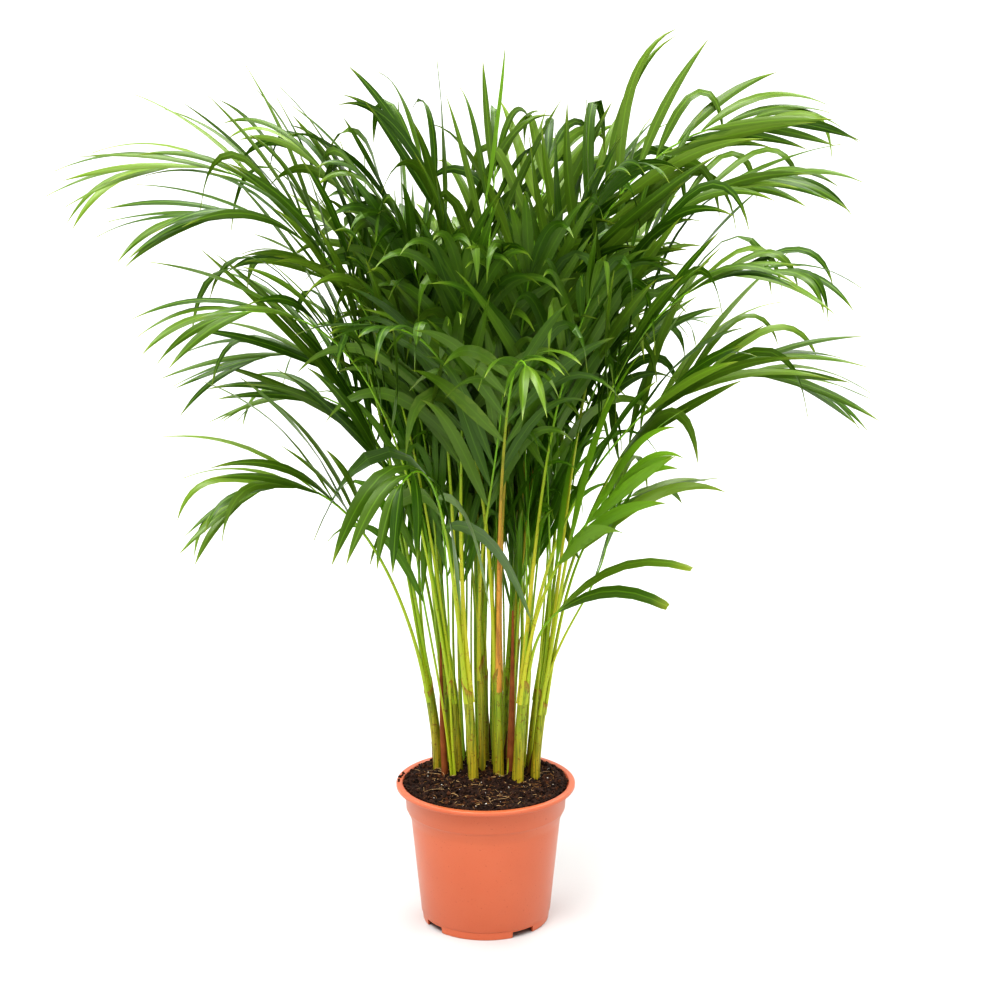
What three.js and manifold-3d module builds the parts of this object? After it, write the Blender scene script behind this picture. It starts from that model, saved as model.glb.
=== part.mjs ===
// A potted palm: a clump of slender canes in a plastic nursery pot, with feather-shaped fronds.
// Millimetres, +Z up. The origin is on the pot's axis, on the surface that the pot stands on.
// Azimuths are in degrees from +X towards +Y; the clump is seen best from -Y.

import * as THREE from "three";
import { mergeVertices } from "three/addons/utils/BufferGeometryUtils.js";
import Module from "manifold-3d";

// ---------------------------------------------------------------- driving dimensions

const POT = {
  height: 168,
  rimRadius: 105,
  lipHeight: 5.5,
  lipWidth: 8,
  lipRound: 1.7,
  lipInnerDrop: 3,
  collarTopRadius: 95,
  collarBottomRadius: 93.4,
  collarBottom: 137,
  shoulderTopRadius: 92.4,
  shoulderBottom: 125,
  wallTopRadius: 87.6,
  footRadius: 75.4,
  footStepHeight: 10,
  footStep: 0.9,
  recessSlope: 3,
  wall: 2,
  floorHeight: 9,
  segments: 40,
};

const NOTCH = { count: 4, firstAzimuth: -54, arc: 22, height: 7.5, depth: 24 };
const DRAIN = { count: 4, firstAzimuth: -9, radius: 7, distance: 48, sides: 10 };

const SOIL = {
  edgeHeight: 159,
  crownHeight: 166.5,
  crownX: 2,
  crownY: 26,
  crownSpread: 60,
  unevenness: 0.8,
  waveLengths: [30, 37, 57],
  segments: 24,
  ringRadii: [78, 54, 28],
};

const GAP = 0.35;
const CANE_DEPTH = 30;
const CANE_SIDES = 8;
const CANE_RINGS = 3;

// Each cane: foot x and y, foot radius, then the mouth of its sheath: x, y, z and radius.
const CANES = [
  { foot: [-55, 36], footRadius: 6.2, mouth: [-67, 33, 268], mouthRadius: 5.4 },
  { foot: [-41, 54], footRadius: 3.8, mouth: [-52, 60, 292], mouthRadius: 4.2 },
  { foot: [-31, 18], footRadius: 4.4, mouth: [-40, 12, 272], mouthRadius: 4.4 },
  { foot: [-14, -2], footRadius: 5.8, mouth: [-21, -10, 280], mouthRadius: 5.4 },
  { foot: [0, 36], footRadius: 3.8, mouth: [-2, 36, 286], mouthRadius: 4.2 },
  { foot: [15, 8], footRadius: 6.0, mouth: [14, 2, 290], mouthRadius: 5.4 },
  { foot: [37, -6], footRadius: 6.6, mouth: [44, -14, 280], mouthRadius: 5.6 },
  { foot: [29, 30], footRadius: 4.4, mouth: [35, 34, 316], mouthRadius: 4.4 },
  { foot: [57, 6], footRadius: 5.2, mouth: [67, 2, 262], mouthRadius: 5.0 },
  { foot: [52, 38], footRadius: 4.8, mouth: [63, 48, 264], mouthRadius: 4.8 },
  { foot: [-29, 74], footRadius: 4.8, mouth: [-40, 86, 250], mouthRadius: 4.8 },
  { foot: [-5, 66], footRadius: 4.4, mouth: [-7, 78, 258], mouthRadius: 4.4 },
  { foot: [22, 64], footRadius: 5.0, mouth: [27, 78, 256], mouthRadius: 5.2 },
  { foot: [-4, 16], footRadius: 3.8, mouth: [-6, 14, 300], mouthRadius: 4.2 },
];

// Each frond: the cane that carries it (counted from 1), the azimuth where it stands on the round
// of its cane's mouth, the end of its midrib, the slope of that end in degrees over level, the roll
// of its face to its right in degrees, the number of leaflet pairs and the longest leaflet's length.
// A young one is still light green.
const FRONDS = [
  { cane: 1, stand: 20, end: [-352, -60, 878], slope: -8, roll: -4, pairs: 8, leaflet: 230 },
  { cane: 3, stand: 340, end: [-290, -120, 832], slope: -2, roll: -12, pairs: 8, leaflet: 230 },
  { cane: 3, stand: 235, end: [-255, -170, 735], slope: -4, roll: -10, pairs: 8, leaflet: 225 },
  { cane: 1, stand: 110, end: [-258, 50, 660], slope: -18, roll: -10, pairs: 8, leaflet: 235 },
  { cane: 1, stand: 220, end: [-262, -60, 520], slope: -26, roll: 0, pairs: 5, leaflet: 195 },
  { cane: 4, stand: 235, end: [-104, -168, 548], slope: -34, roll: -10, pairs: 6, leaflet: 200 },
  { cane: 2, stand: 150, end: [-232, 140, 605], slope: -8, roll: -10, pairs: 6, leaflet: 200 },
  { cane: 2, stand: 250, end: [-185, 0, 880], slope: 40, roll: -15, pairs: 8, leaflet: 205 },
  { cane: 2, stand: 30, end: [-80, 65, 895], slope: 58, roll: -20, pairs: 7, leaflet: 210 },
  { cane: 5, stand: 60, end: [12, 92, 880], slope: 68, roll: 50, pairs: 6, leaflet: 200, young: true },
  { cane: 8, stand: 100, end: [72, 110, 878], slope: 64, roll: 20, pairs: 7, leaflet: 200 },
  { cane: 4, stand: 120, end: [-80, -85, 790], slope: 62, roll: 0, pairs: 8, leaflet: 215 },
  { cane: 4, stand: 0, end: [-22, -112, 755], slope: 64, roll: 0, pairs: 8, leaflet: 215 },
  { cane: 6, stand: 30, end: [48, -112, 770], slope: 64, roll: 0, pairs: 8, leaflet: 215 },
  { cane: 7, stand: 170, end: [112, -115, 745], slope: 60, roll: 0, pairs: 8, leaflet: 215 },
  { cane: 6, stand: 170, end: [-92, -215, 725], slope: 8, roll: 0, pairs: 6, leaflet: 190 },
  { cane: 8, stand: 280, end: [312, 10, 938], slope: 4, roll: 50, pairs: 9, leaflet: 205 },
  { cane: 9, stand: 120, end: [300, -60, 868], slope: 6, roll: 34, pairs: 9, leaflet: 205 },
  { cane: 9, stand: 250, end: [292, -135, 775], slope: 4, roll: 20, pairs: 8, leaflet: 210 },
  { cane: 13, stand: 295, end: [150, 90, 866], slope: 50, roll: 35, pairs: 8, leaflet: 195 },
  { cane: 10, stand: 330, end: [345, 42, 640], slope: -18, roll: 34, pairs: 8, leaflet: 225 },
  { cane: 10, stand: 80, end: [200, 178, 680], slope: 14, roll: 10, pairs: 7, leaflet: 185 },
  { cane: 7, stand: 80, end: [195, -90, 640], slope: 42, roll: 30, pairs: 2, leaflet: 230 },
  { cane: 7, stand: 245, end: [138, -98, 530], slope: 40, roll: 30, pairs: 5, leaflet: 175, young: true },
  { cane: 9, stand: 10, end: [172, 80, 492], slope: 14, roll: 10, pairs: 2, leaflet: 215 },
  { cane: 7, stand: 335, end: [88, -50, 390], slope: 34, roll: 60, pairs: 1, leaflet: 170 },
  { cane: 6, stand: 290, end: [42, -266, 694], slope: -6, roll: 15, pairs: 5, leaflet: 175 },
  { cane: 11, stand: 250, end: [-152, 170, 780], slope: 34, roll: 0, pairs: 8, leaflet: 205 },
  { cane: 11, stand: 30, end: [-106, 185, 790], slope: 42, roll: 0, pairs: 7, leaflet: 200 },
  { cane: 12, stand: 210, end: [-38, 222, 775], slope: 38, roll: 0, pairs: 7, leaflet: 200 },
  { cane: 13, stand: 214, end: [30, 245, 750], slope: 30, roll: 0, pairs: 7, leaflet: 200 },
  { cane: 13, stand: 40, end: [96, 220, 775], slope: 38, roll: 0, pairs: 7, leaflet: 200 },
  { cane: 10, stand: 200, end: [152, 200, 765], slope: 32, roll: 0, pairs: 7, leaflet: 200 },
  { cane: 11, stand: 150, end: [-128, 222, 655], slope: 18, roll: 0, pairs: 7, leaflet: 190 },
  { cane: 12, stand: 95, end: [-72, 255, 680], slope: 4, roll: 0, pairs: 8, leaflet: 190 },
  { cane: 13, stand: 133, end: [76, 262, 655], slope: 4, roll: 0, pairs: 8, leaflet: 175 },
  { cane: 14, stand: 240, end: [20, -98, 645], slope: 48, roll: 0, pairs: 5, leaflet: 160 },
  { cane: 14, stand: 60, end: [2, 18, 850], slope: 82, roll: 0, pairs: 0, leaflet: 290, young: true },
  { cane: 5, stand: 240, end: [-125, -50, 860], slope: 46, roll: -10, pairs: 8, leaflet: 205 },
  { cane: 8, stand: 200, end: [122, -75, 850], slope: 46, roll: 20, pairs: 8, leaflet: 205 },
  { cane: 12, stand: 330, end: [50, 170, 862], slope: 48, roll: 0, pairs: 7, leaflet: 200 },
  { cane: 3, stand: 125, end: [-188, -30, 765], slope: 26, roll: -4, pairs: 8, leaflet: 205 },
];

// Dry sheaths that stand among the canes: foot x and y, tip, and width at the foot.
const DRY_SHEATHS = [
  { foot: [-47, 16], tip: [-53, 22, 330], width: 7 },
  { foot: [28, 12], tip: [31, 8, 372], width: 8 },
];
const DRY_SHEATH = { thickness: 2.4, stations: [0, 0.3, 0.65, 1], tipWidth: 0.45, tipThickness: 0.6 };

// The widths and heights of a petiole are shares of its cane's mouth radius.
const MIDRIB = {
  rise: 0.46,
  reach: 0.34,
  petioleShare: 0.54,
  youngPetioleShare: 0.86,
  petioleSteps: 4,
  baseWidth: 0.7,
  baseHeight: 0.6,
  petioleWidth: 1.08,
  petioleHeight: 0.9,
  endWidth: 2.6,
  endHeight: 2.2,
  baseOffset: 0.62,
  stepCrowding: 1.6,
  swellShare: 0.12,
};

// Angles in degrees: a leaflet leaves the midrib at an open one and curves forward along it, by
// the share "forward" of its length at its tip.
const LEAFLET = {
  rootLength: 13,
  width: 19,
  foldHeight: 2.6,
  midStations: [0.34, 0.72],
  midWidths: [1, 0.72],
  firstAngle: 50,
  lastAngle: 20,
  firstLift: 24,
  lastLift: 8,
  forward: 0.24,
  droop: 0.34,
  firstLength: 0.9,
  longestFrom: 0.28,
  taperFrom: 0.36,
  lastLength: 0.5,
  lastGirth: 0.8,
  angleScatter: 5,
  lengthScatter: 0.07,
  droopScatter: 0.2,
  endShare: 0.44,
  youngSpread: 0.6,
  clearance: 0.6,
  tries: 16,
};

// How far another try may bend a leaflet: degrees at first and more with each try, the least and
// the most degrees that count, then the shares of its droop and of its length that each try adds.
const BEND = { degrees: 6, moreDegrees: 1.6, least: 8, most: 16, droop: 0.06, length: 0.022 };

const COLOURS = {
  pot: [0xe57552, 0.5],
  soil: [0x3a2419, 0.95],
  cane: [0xa3b04a, 0.6],
  drySheath: [0x8a4a22, 0.8],
  frond: [0x3f7a1e, 0.5],
  young: [0x6faa2a, 0.45],
};

// ---------------------------------------------------------------- small helpers

const wasm = await Module();
wasm.setup();

const UP = new THREE.Vector3(0, 0, 1);
const radians = THREE.MathUtils.degToRad;
const mix = THREE.MathUtils.lerp;

// A repeatable stream of numbers from 0 to 1.
function randomStream(seed) {
  let state = seed >>> 0;
  return () => {
    state = (state + 0x6d2b79f5) >>> 0;
    let t = state;
    t = Math.imul(t ^ (t >>> 15), t | 1);
    t ^= t + Math.imul(t ^ (t >>> 7), t | 61);
    return ((t ^ (t >>> 14)) >>> 0) / 4294967296;
  };
}

// A geometry from a list of Vector3 corners and a list of triangles that index them.
function geometryOf(points, triangles) {
  const geometry = new THREE.BufferGeometry();
  const coordinates = points.flatMap((point) => point.toArray());
  geometry.setAttribute("position", new THREE.Float32BufferAttribute(coordinates, 3));
  geometry.setIndex(triangles.flat());
  return geometry;
}

// Shared corners merged and empty triangles dropped, so that the surface is one closed skin.
function closedSkin(geometry) {
  const bare = geometry.clone();
  bare.deleteAttribute("normal");
  bare.deleteAttribute("uv");
  const merged = mergeVertices(bare, 1e-3);
  const index = merged.index.array;
  const kept = [];
  for (let i = 0; i < index.length; i += 3) {
    const [a, b, c] = [index[i], index[i + 1], index[i + 2]];
    if (a !== b && b !== c && c !== a) kept.push(a, b, c);
  }
  merged.setIndex(kept);
  return merged;
}

function solidOf(geometry) {
  const skin = closedSkin(geometry);
  const vertProperties = new Float32Array(skin.attributes.position.array);
  const triVerts = new Uint32Array(skin.index.array);
  return new wasm.Manifold(new wasm.Mesh({ numProp: 3, vertProperties, triVerts }));
}

function geometryOfSolid(solid) {
  const mesh = solid.getMesh();
  const geometry = new THREE.BufferGeometry();
  geometry.setAttribute("position", new THREE.BufferAttribute(mesh.vertProperties, 3));
  geometry.setIndex(new THREE.BufferAttribute(mesh.triVerts, 1));
  return geometry;
}

function namedMesh(name, geometry, [colour, roughness]) {
  const skin = closedSkin(geometry);
  skin.computeVertexNormals();
  const material = new THREE.MeshStandardMaterial({ color: colour, roughness, metalness: 0 });
  const mesh = new THREE.Mesh(skin, material);
  mesh.name = name;
  return mesh;
}

// A closed skin through rings of corners, each counterclockwise as seen from the last ring's side.
function loft(rings) {
  const sides = rings[0].length;
  const triangles = [];
  for (let i = 0; i + 1 < rings.length; i += 1) {
    for (let k = 0; k < sides; k += 1) {
      const a = i * sides + k;
      const b = i * sides + ((k + 1) % sides);
      triangles.push([a, b, b + sides], [a, b + sides, a + sides]);
    }
  }
  const last = (rings.length - 1) * sides;
  for (let k = 1; k + 1 < sides; k += 1) {
    triangles.push([0, k + 1, k], [last, last + k, last + k + 1]);
  }
  return geometryOf(rings.flat(), triangles);
}

// A profile of [radius, height] points turned about +Z.
function turned(profile, segments) {
  const points = profile.map(([r, z]) => new THREE.Vector2(r, z));
  const geometry = new THREE.LatheGeometry(points, segments);
  geometry.rotateX(Math.PI / 2);
  return geometry;
}

// ---------------------------------------------------------------- pot

// The outer radius of the wall under the shoulder, at a height.
function wallRadius(z) {
  return mix(POT.footRadius, POT.wallTopRadius, z / POT.shoulderBottom);
}

function potGeometry() {
  const { height, rimRadius, lipRound, wall, floorHeight, footStep, footStepHeight } = POT;
  const lipBottom = height - POT.lipHeight;
  const innerFoot = wallRadius(0) - footStep - wall;
  const profile = [
    [0, floorHeight - wall],
    [innerFoot - POT.recessSlope, floorHeight - wall],
    [innerFoot, 0],
    [POT.footRadius - footStep, 0],
    [wallRadius(footStepHeight) - footStep, footStepHeight],
    [wallRadius(footStepHeight), footStepHeight + footStep],
    [POT.wallTopRadius, POT.shoulderBottom],
    [POT.shoulderTopRadius, POT.collarBottom],
    [POT.collarBottomRadius, POT.collarBottom],
    [POT.collarTopRadius, lipBottom],
    [rimRadius - lipRound, lipBottom],
    [rimRadius, lipBottom + lipRound],
    [rimRadius, height - lipRound],
    [rimRadius - lipRound, height],
    [rimRadius - POT.lipWidth, height],
    [POT.collarTopRadius - wall, height - POT.lipInnerDrop],
    [POT.collarBottomRadius - wall, POT.collarBottom],
    [POT.wallTopRadius - wall, POT.shoulderBottom],
    [wallRadius(floorHeight) - wall, floorHeight],
    [0, floorHeight],
  ];
  let pot = solidOf(turned(profile, POT.segments));
  for (let i = 0; i < NOTCH.count; i += 1) {
    const azimuth = radians(NOTCH.firstAzimuth + (i * 360) / NOTCH.count);
    pot = pot.subtract(notchCutter(azimuth));
  }
  for (let i = 0; i < DRAIN.count; i += 1) {
    const azimuth = radians(DRAIN.firstAzimuth + (i * 360) / DRAIN.count);
    const hole = new THREE.CylinderGeometry(DRAIN.radius, DRAIN.radius, 3 * wall, DRAIN.sides);
    hole.rotateX(Math.PI / 2);
    hole.translate(
      DRAIN.distance * Math.cos(azimuth),
      DRAIN.distance * Math.sin(azimuth),
      floorHeight - wall / 2,
    );
    pot = pot.subtract(solidOf(hole));
  }
  return geometryOfSolid(pot);
}

// A block that opens one drainage notch through the foot of the wall.
function notchCutter(azimuth) {
  const width = 2 * POT.footRadius * Math.sin(radians(NOTCH.arc / 2));
  const block = new THREE.BoxGeometry(NOTCH.depth, width, 2 * NOTCH.height);
  block.translate(POT.footRadius, 0, 0);
  block.rotateZ(azimuth);
  return solidOf(block);
}

// ---------------------------------------------------------------- canes

// The centre line of a cane, from its foot in the soil to the mouth of its sheath.
function caneLine(cane) {
  const [x, y] = cane.foot;
  const foot = new THREE.Vector3(x, y, SOIL.edgeHeight - CANE_DEPTH);
  const mouth = new THREE.Vector3(...cane.mouth);
  const knee = new THREE.Vector3(x, y, mix(foot.z, mouth.z, 0.5));
  return new THREE.QuadraticBezierCurve3(foot, knee, mouth);
}

// A many-sided stem along a cane's line, up to a share of it; extra widens and deepens it into the
// hole that it needs.
function caneGeometry(cane, extra, ringCount, upTo) {
  const line = caneLine(cane);
  const rings = [];
  for (let i = 0; i <= ringCount; i += 1) {
    const t = (upTo * i) / ringCount;
    const centre = line.getPoint(t);
    if (i === 0) centre.z -= extra;
    const radius = mix(cane.footRadius, cane.mouthRadius, t) + extra;
    const axis = line.getTangent(t);
    const across = new THREE.Vector3(1, 0, 0).cross(axis).negate().normalize();
    const along = new THREE.Vector3().crossVectors(axis, across);
    const ring = [];
    for (let k = 0; k < CANE_SIDES; k += 1) {
      const a = (2 * Math.PI * k) / CANE_SIDES;
      const corner = centre.clone().addScaledVector(across, radius * Math.cos(a));
      ring.push(corner.addScaledVector(along, radius * Math.sin(a)));
    }
    rings.push(ring);
  }
  return loft(rings);
}

// ---------------------------------------------------------------- dry sheaths

// A flat tapering strip from its foot in the soil up to a share of its length; extra widens and
// deepens it into the hole that it needs.
function drySheathGeometry(sheath, extra, upTo) {
  const foot = new THREE.Vector3(...sheath.foot, SOIL.edgeHeight - CANE_DEPTH);
  const tip = new THREE.Vector3(...sheath.tip);
  const { thickness, stations, tipWidth, tipThickness } = DRY_SHEATH;
  const rings = stations.filter((t) => t <= upTo).map((t) => {
    const centre = foot.clone().lerp(tip, t);
    if (t === 0) centre.z -= extra;
    const halfWidth = (sheath.width * mix(1, tipWidth, t)) / 2 + extra;
    const halfDepth = (thickness * mix(1, tipThickness, t)) / 2 + extra;
    return [[1, 0], [0, 1], [-1, 0], [0, -1]].map(
      ([a, b]) => new THREE.Vector3(centre.x + a * halfWidth, centre.y + b * halfDepth, centre.z),
    );
  });
  return loft(rings);
}

// ---------------------------------------------------------------- soil

// The height of the filling: level near the wall and raised round the foot of the clump.
function soilHeight(x, y) {
  const distance = Math.hypot(x - SOIL.crownX, y - SOIL.crownY) / SOIL.crownSpread;
  const rise = (SOIL.crownHeight - SOIL.edgeHeight) * Math.exp(-distance * distance);
  const [alongX, alongY, across] = SOIL.waveLengths.map((length) => (2 * Math.PI) / length);
  const waves = Math.sin(alongX * x) * Math.cos(alongY * y) + Math.sin(across * (x - y));
  return SOIL.edgeHeight + rise + SOIL.unevenness * waves;
}

function soilGeometry() {
  const top = SOIL.edgeHeight;
  const bottom = POT.floorHeight + GAP;
  const inset = POT.wall + 2 * GAP;
  const rise = (top - POT.collarBottom) / (POT.height - POT.lipInnerDrop - POT.collarBottom);
  const profile = [
    [0, bottom],
    [wallRadius(POT.floorHeight) - inset, bottom],
    [POT.wallTopRadius - inset, POT.shoulderBottom],
    [POT.collarBottomRadius - inset, POT.collarBottom],
    [mix(POT.collarBottomRadius, POT.collarTopRadius, rise) - inset, top],
    ...SOIL.ringRadii.map((radius) => [radius, top]),
    [0, top],
  ];
  const geometry = turned(profile, SOIL.segments);
  const position = geometry.attributes.position;
  for (let i = 0; i < position.count; i += 1) {
    const x = position.getX(i);
    const y = position.getY(i);
    if (Math.abs(position.getZ(i) - top) < GAP) position.setZ(i, soilHeight(x, y));
  }
  let soil = solidOf(geometry);
  for (const cane of CANES) {
    soil = soil.subtract(solidOf(caneGeometry(cane, GAP, 1, 1 / CANE_RINGS)));
  }
  for (const sheath of DRY_SHEATHS) {
    soil = soil.subtract(solidOf(drySheathGeometry(sheath, 2 * GAP, DRY_SHEATH.stations[1])));
  }
  return geometryOfSolid(soil);
}

// ---------------------------------------------------------------- fronds

// The midrib of a frond as a curve from the mouth of its sheath.
function midribCurve(frond) {
  const cane = CANES[frond.cane - 1];
  const line = caneLine(cane);
  const axis = line.getTangent(1);
  const mouth = new THREE.Vector3(...cane.mouth);
  const azimuth = radians(frond.stand);
  const start = mouth.clone().addScaledVector(axis, GAP);
  const outward = new THREE.Vector3(Math.cos(azimuth), Math.sin(azimuth), 0);
  outward.addScaledVector(axis, -outward.dot(axis)).normalize();
  start.addScaledVector(outward, MIDRIB.baseOffset * cane.mouthRadius);
  const end = new THREE.Vector3(...frond.end);
  const chord = end.distanceTo(start);
  const level = end.clone().sub(start).setZ(0).normalize();
  const slope = radians(frond.slope);
  const aim = level.clone().multiplyScalar(Math.cos(slope)).addScaledVector(UP, Math.sin(slope));
  return new THREE.CubicBezierCurve3(
    start,
    start.clone().addScaledVector(axis, MIDRIB.rise * chord),
    end.clone().addScaledVector(aim, -MIDRIB.reach * chord),
    end,
  );
}

// The stations along a midrib. A station starts a leaflet's root when its root flag is set.
function midribStations(frond, curve) {
  const length = curve.getLength();
  const petiole = frond.pairs === 1 ? MIDRIB.youngPetioleShare : MIDRIB.petioleShare;
  const bearing = length * (1 - petiole);
  const pitch = frond.pairs > 0 ? bearing / frond.pairs : bearing;
  const distances = [];
  const first = frond.pairs > 0 ? length - bearing : length;
  for (let i = 0; i < MIDRIB.petioleSteps; i += 1) {
    const share = (i / MIDRIB.petioleSteps) ** MIDRIB.stepCrowding;
    distances.push({ at: share * first, root: false });
  }
  for (let i = 0; i < frond.pairs; i += 1) {
    const at = first + i * pitch;
    distances.push({ at, root: true, pair: i });
    distances.push({ at: at + LEAFLET.rootLength, root: false });
  }
  distances.push({ at: length, root: false });
  return distances.map((station) => ({ ...station, ...sectionAt(frond, curve, length, station.at) }));
}

// The three corners of the midrib's section at a distance: right, left and the ridge on top.
function sectionAt(frond, curve, length, at) {
  const u = Math.min(at / length, 1);
  const point = curve.getPointAt(u);
  const tangent = at === 0 ? curve.getTangent(0) : curve.getTangentAt(u);
  const chord = new THREE.Vector3().subVectors(curve.v3, curve.v0).setZ(0).normalize();
  const side = new THREE.Vector3().crossVectors(chord, UP).normalize();
  side.addScaledVector(tangent, -side.dot(tangent)).normalize();
  side.applyAxisAngle(tangent, radians(frond.roll) * Math.min(1, 2 * u));
  const normal = new THREE.Vector3().crossVectors(side, tangent).normalize();
  const swell = Math.min(u / MIDRIB.swellShare, 1);
  const taper = Math.max(0, (u - MIDRIB.swellShare) / (1 - MIDRIB.swellShare));
  const mouth = CANES[frond.cane - 1].mouthRadius;
  const thickWidth = mouth * mix(MIDRIB.baseWidth, MIDRIB.petioleWidth, swell);
  const thickHeight = mouth * mix(MIDRIB.baseHeight, MIDRIB.petioleHeight, swell);
  const width = mix(thickWidth, MIDRIB.endWidth, taper);
  const height = mix(thickHeight, MIDRIB.endHeight, taper);
  const low = point.clone().addScaledVector(normal, -height / 2);
  const corners = [
    low.clone().addScaledVector(side, width / 2),
    low.clone().addScaledVector(side, -width / 2),
    point.clone().addScaledVector(normal, height / 2),
  ];
  return { u, point, tangent, side, normal, corners };
}

// The two edges and the ridge of a leaflet at each of its stations, root and tip left out, in the
// order of its root's corners. hand is 1 on the right of the midrib, -1 on the left and 0 for the
// leaflet at its end.
function leafletSections(root, frame, hand, shape, margin) {
  const angle = radians(shape.angle);
  const lift = radians(shape.lift);
  const across = frame.side.clone().multiplyScalar(hand * Math.cos(lift));
  across.addScaledVector(frame.normal, Math.sin(lift));
  const aim = frame.tangent.clone().multiplyScalar(Math.cos(angle));
  aim.addScaledVector(across, Math.sin(angle));
  const place = (t) => {
    const p = root.clone().addScaledVector(aim, shape.length * t);
    p.addScaledVector(frame.tangent, (hand === 0 ? 0 : LEAFLET.forward) * shape.length * t * t);
    return p.addScaledVector(UP, -shape.droop * shape.length * t * t);
  };
  const sections = LEAFLET.midStations.map((t, i) => {
    const heading = aim.clone().addScaledVector(UP, -2 * shape.droop * t);
    heading.addScaledVector(frame.tangent, (hand === 0 ? 0 : 2 * LEAFLET.forward) * t).normalize();
    const normal = frame.normal.clone().addScaledVector(heading, -frame.normal.dot(heading)).normalize();
    const edge = new THREE.Vector3().crossVectors(normal, heading);
    const half = (LEAFLET.width * shape.girth * LEAFLET.midWidths[i]) / 2 + margin;
    const low = place(t).addScaledVector(normal, -margin);
    return [
      low.clone().addScaledVector(edge, -half),
      low.clone().addScaledVector(edge, half),
      place(t).addScaledVector(normal, LEAFLET.foldHeight + margin),
    ];
  });
  return { sections, tip: place(1) };
}

// The triangles between two rings of three corners. Each face is split along the diagonal that
// bulges out, so that the faces of a twisted length don't cross.
function band(points, ring, next) {
  const bulk = (triangles) =>
    triangles.reduce((sum, [a, b, c]) => sum + points[a].dot(points[b].clone().cross(points[c])), 0);
  return [[0, 1], [1, 2], [2, 0]].flatMap(([k, m]) => {
    const ahead = [[ring[k], ring[m], next[m]], [ring[k], next[m], next[k]]];
    const back = [[ring[k], ring[m], next[k]], [ring[m], next[m], next[k]]];
    return bulk(ahead) > bulk(back) ? ahead : back;
  });
}

// Triangles of a leaflet that grows out of the triangle of corners [a, b, c], seen from outside
// in that order; sections follow in the same order.
function growLeaflet(points, triangles, [a, b, c], sections, tip) {
  let ring = [a, b, c];
  for (const section of sections) {
    const next = section.map((p) => points.push(p) - 1);
    triangles.push(...band(points, ring, next));
    ring = next;
  }
  const last = points.push(tip) - 1;
  for (let k = 0; k < 3; k += 1) triangles.push([ring[k], ring[(k + 1) % 3], last]);
}

// The bend of a leaflet by its place on the midrib, with its own scatter.
function leafletShape(frond, share, random) {
  const swell = mix(LEAFLET.firstLength, 1, Math.min(1, share / LEAFLET.longestFrom));
  const late = Math.max(0, (share - LEAFLET.taperFrom) / (1 - LEAFLET.taperFrom));
  const taper = mix(1, LEAFLET.lastLength, late);
  const spread = frond.pairs === 1 ? LEAFLET.youngSpread : 1;
  const angle = spread * mix(LEAFLET.firstAngle, LEAFLET.lastAngle, share);
  const lift = mix(LEAFLET.firstLift, LEAFLET.lastLift, share);
  const scatter = () => 2 * random() - 1;
  return {
    angle: angle + LEAFLET.angleScatter * scatter(),
    lift: lift + LEAFLET.angleScatter * scatter(),
    length: frond.leaflet * swell * taper * (1 + LEAFLET.lengthScatter * scatter()),
    droop: LEAFLET.droop * (1 + LEAFLET.droopScatter * scatter()),
    girth: mix(1, LEAFLET.lastGirth, share),
  };
}

// Another bend for a leaflet that would touch its neighbours.
function bentAgain(shape, attempt, random) {
  const reach = BEND.degrees + BEND.moreDegrees * attempt;
  const scatter = () => 2 * random() - 1;
  return {
    ...shape,
    angle: shape.angle + Math.max(-BEND.least, reach * scatter()),
    lift: shape.lift + THREE.MathUtils.clamp(reach * scatter(), -BEND.least, BEND.most),
    droop: shape.droop * (1 + BEND.droop * attempt * scatter()),
    length: shape.length * (1 - BEND.length * attempt * random()),
  };
}

// What stands in the way: solids with their boxes, asked one by one only where boxes meet.
class Crowd {
  constructor() {
    this.members = [];
  }

  add(solid, owner) {
    const { min, max } = solid.boundingBox();
    this.members.push({ solid, owner, min, max });
  }

  touches(solid, ignored) {
    const { min, max } = solid.boundingBox();
    for (const other of this.members) {
      if (ignored(other.owner)) continue;
      const apart = [0, 1, 2].some((k) => other.max[k] < min[k] || other.min[k] > max[k]);
      if (apart) continue;
      const shared = solid.intersect(other.solid);
      const empty = shared.isEmpty();
      shared.delete();
      if (!empty) return true;
    }
    return false;
  }
}

// The midrib alone, in short closed lengths, widened by a margin.
function midribPieces(stations, margin) {
  const rings = stations.map(({ point, corners }) =>
    corners.map((corner) => {
      const away = corner.clone().sub(point).normalize();
      return corner.clone().addScaledVector(away, margin);
    }),
  );
  return rings.slice(1).map((ring, i) => solidOf(loft([rings[i], ring])));
}

// The corners of the midrib that a leaflet's root takes, as [station step, corner] pairs.
const ROOTS = {
  right: { hand: 1, corners: [[0, 0], [1, 0], [0, 2]] },
  left: { hand: -1, corners: [[1, 1], [0, 1], [0, 2]] },
};

// All fronds together, because their leaflets are bent clear of each other.
function frondGeometries() {
  const random = randomStream(20298);
  const crowd = new Crowd();
  CANES.forEach((cane, i) => {
    crowd.add(solidOf(caneGeometry(cane, LEAFLET.clearance, 1, 1)), { cane: i });
  });
  DRY_SHEATHS.forEach((sheath) => {
    crowd.add(solidOf(drySheathGeometry(sheath, LEAFLET.clearance, 1)), {});
  });
  const fronds = FRONDS.map((frond, number) => {
    const stations = midribStations(frond, midribCurve(frond));
    midribPieces(stations, LEAFLET.clearance).forEach((piece, step) => {
      crowd.add(piece, { frond: number, midrib: true, step });
    });
    return { frond, number, stations, leaflets: [] };
  });
  for (const grown of fronds) {
    growAll(grown, crowd, random);
  }
  return fronds.map(frondGeometry);
}

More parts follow.
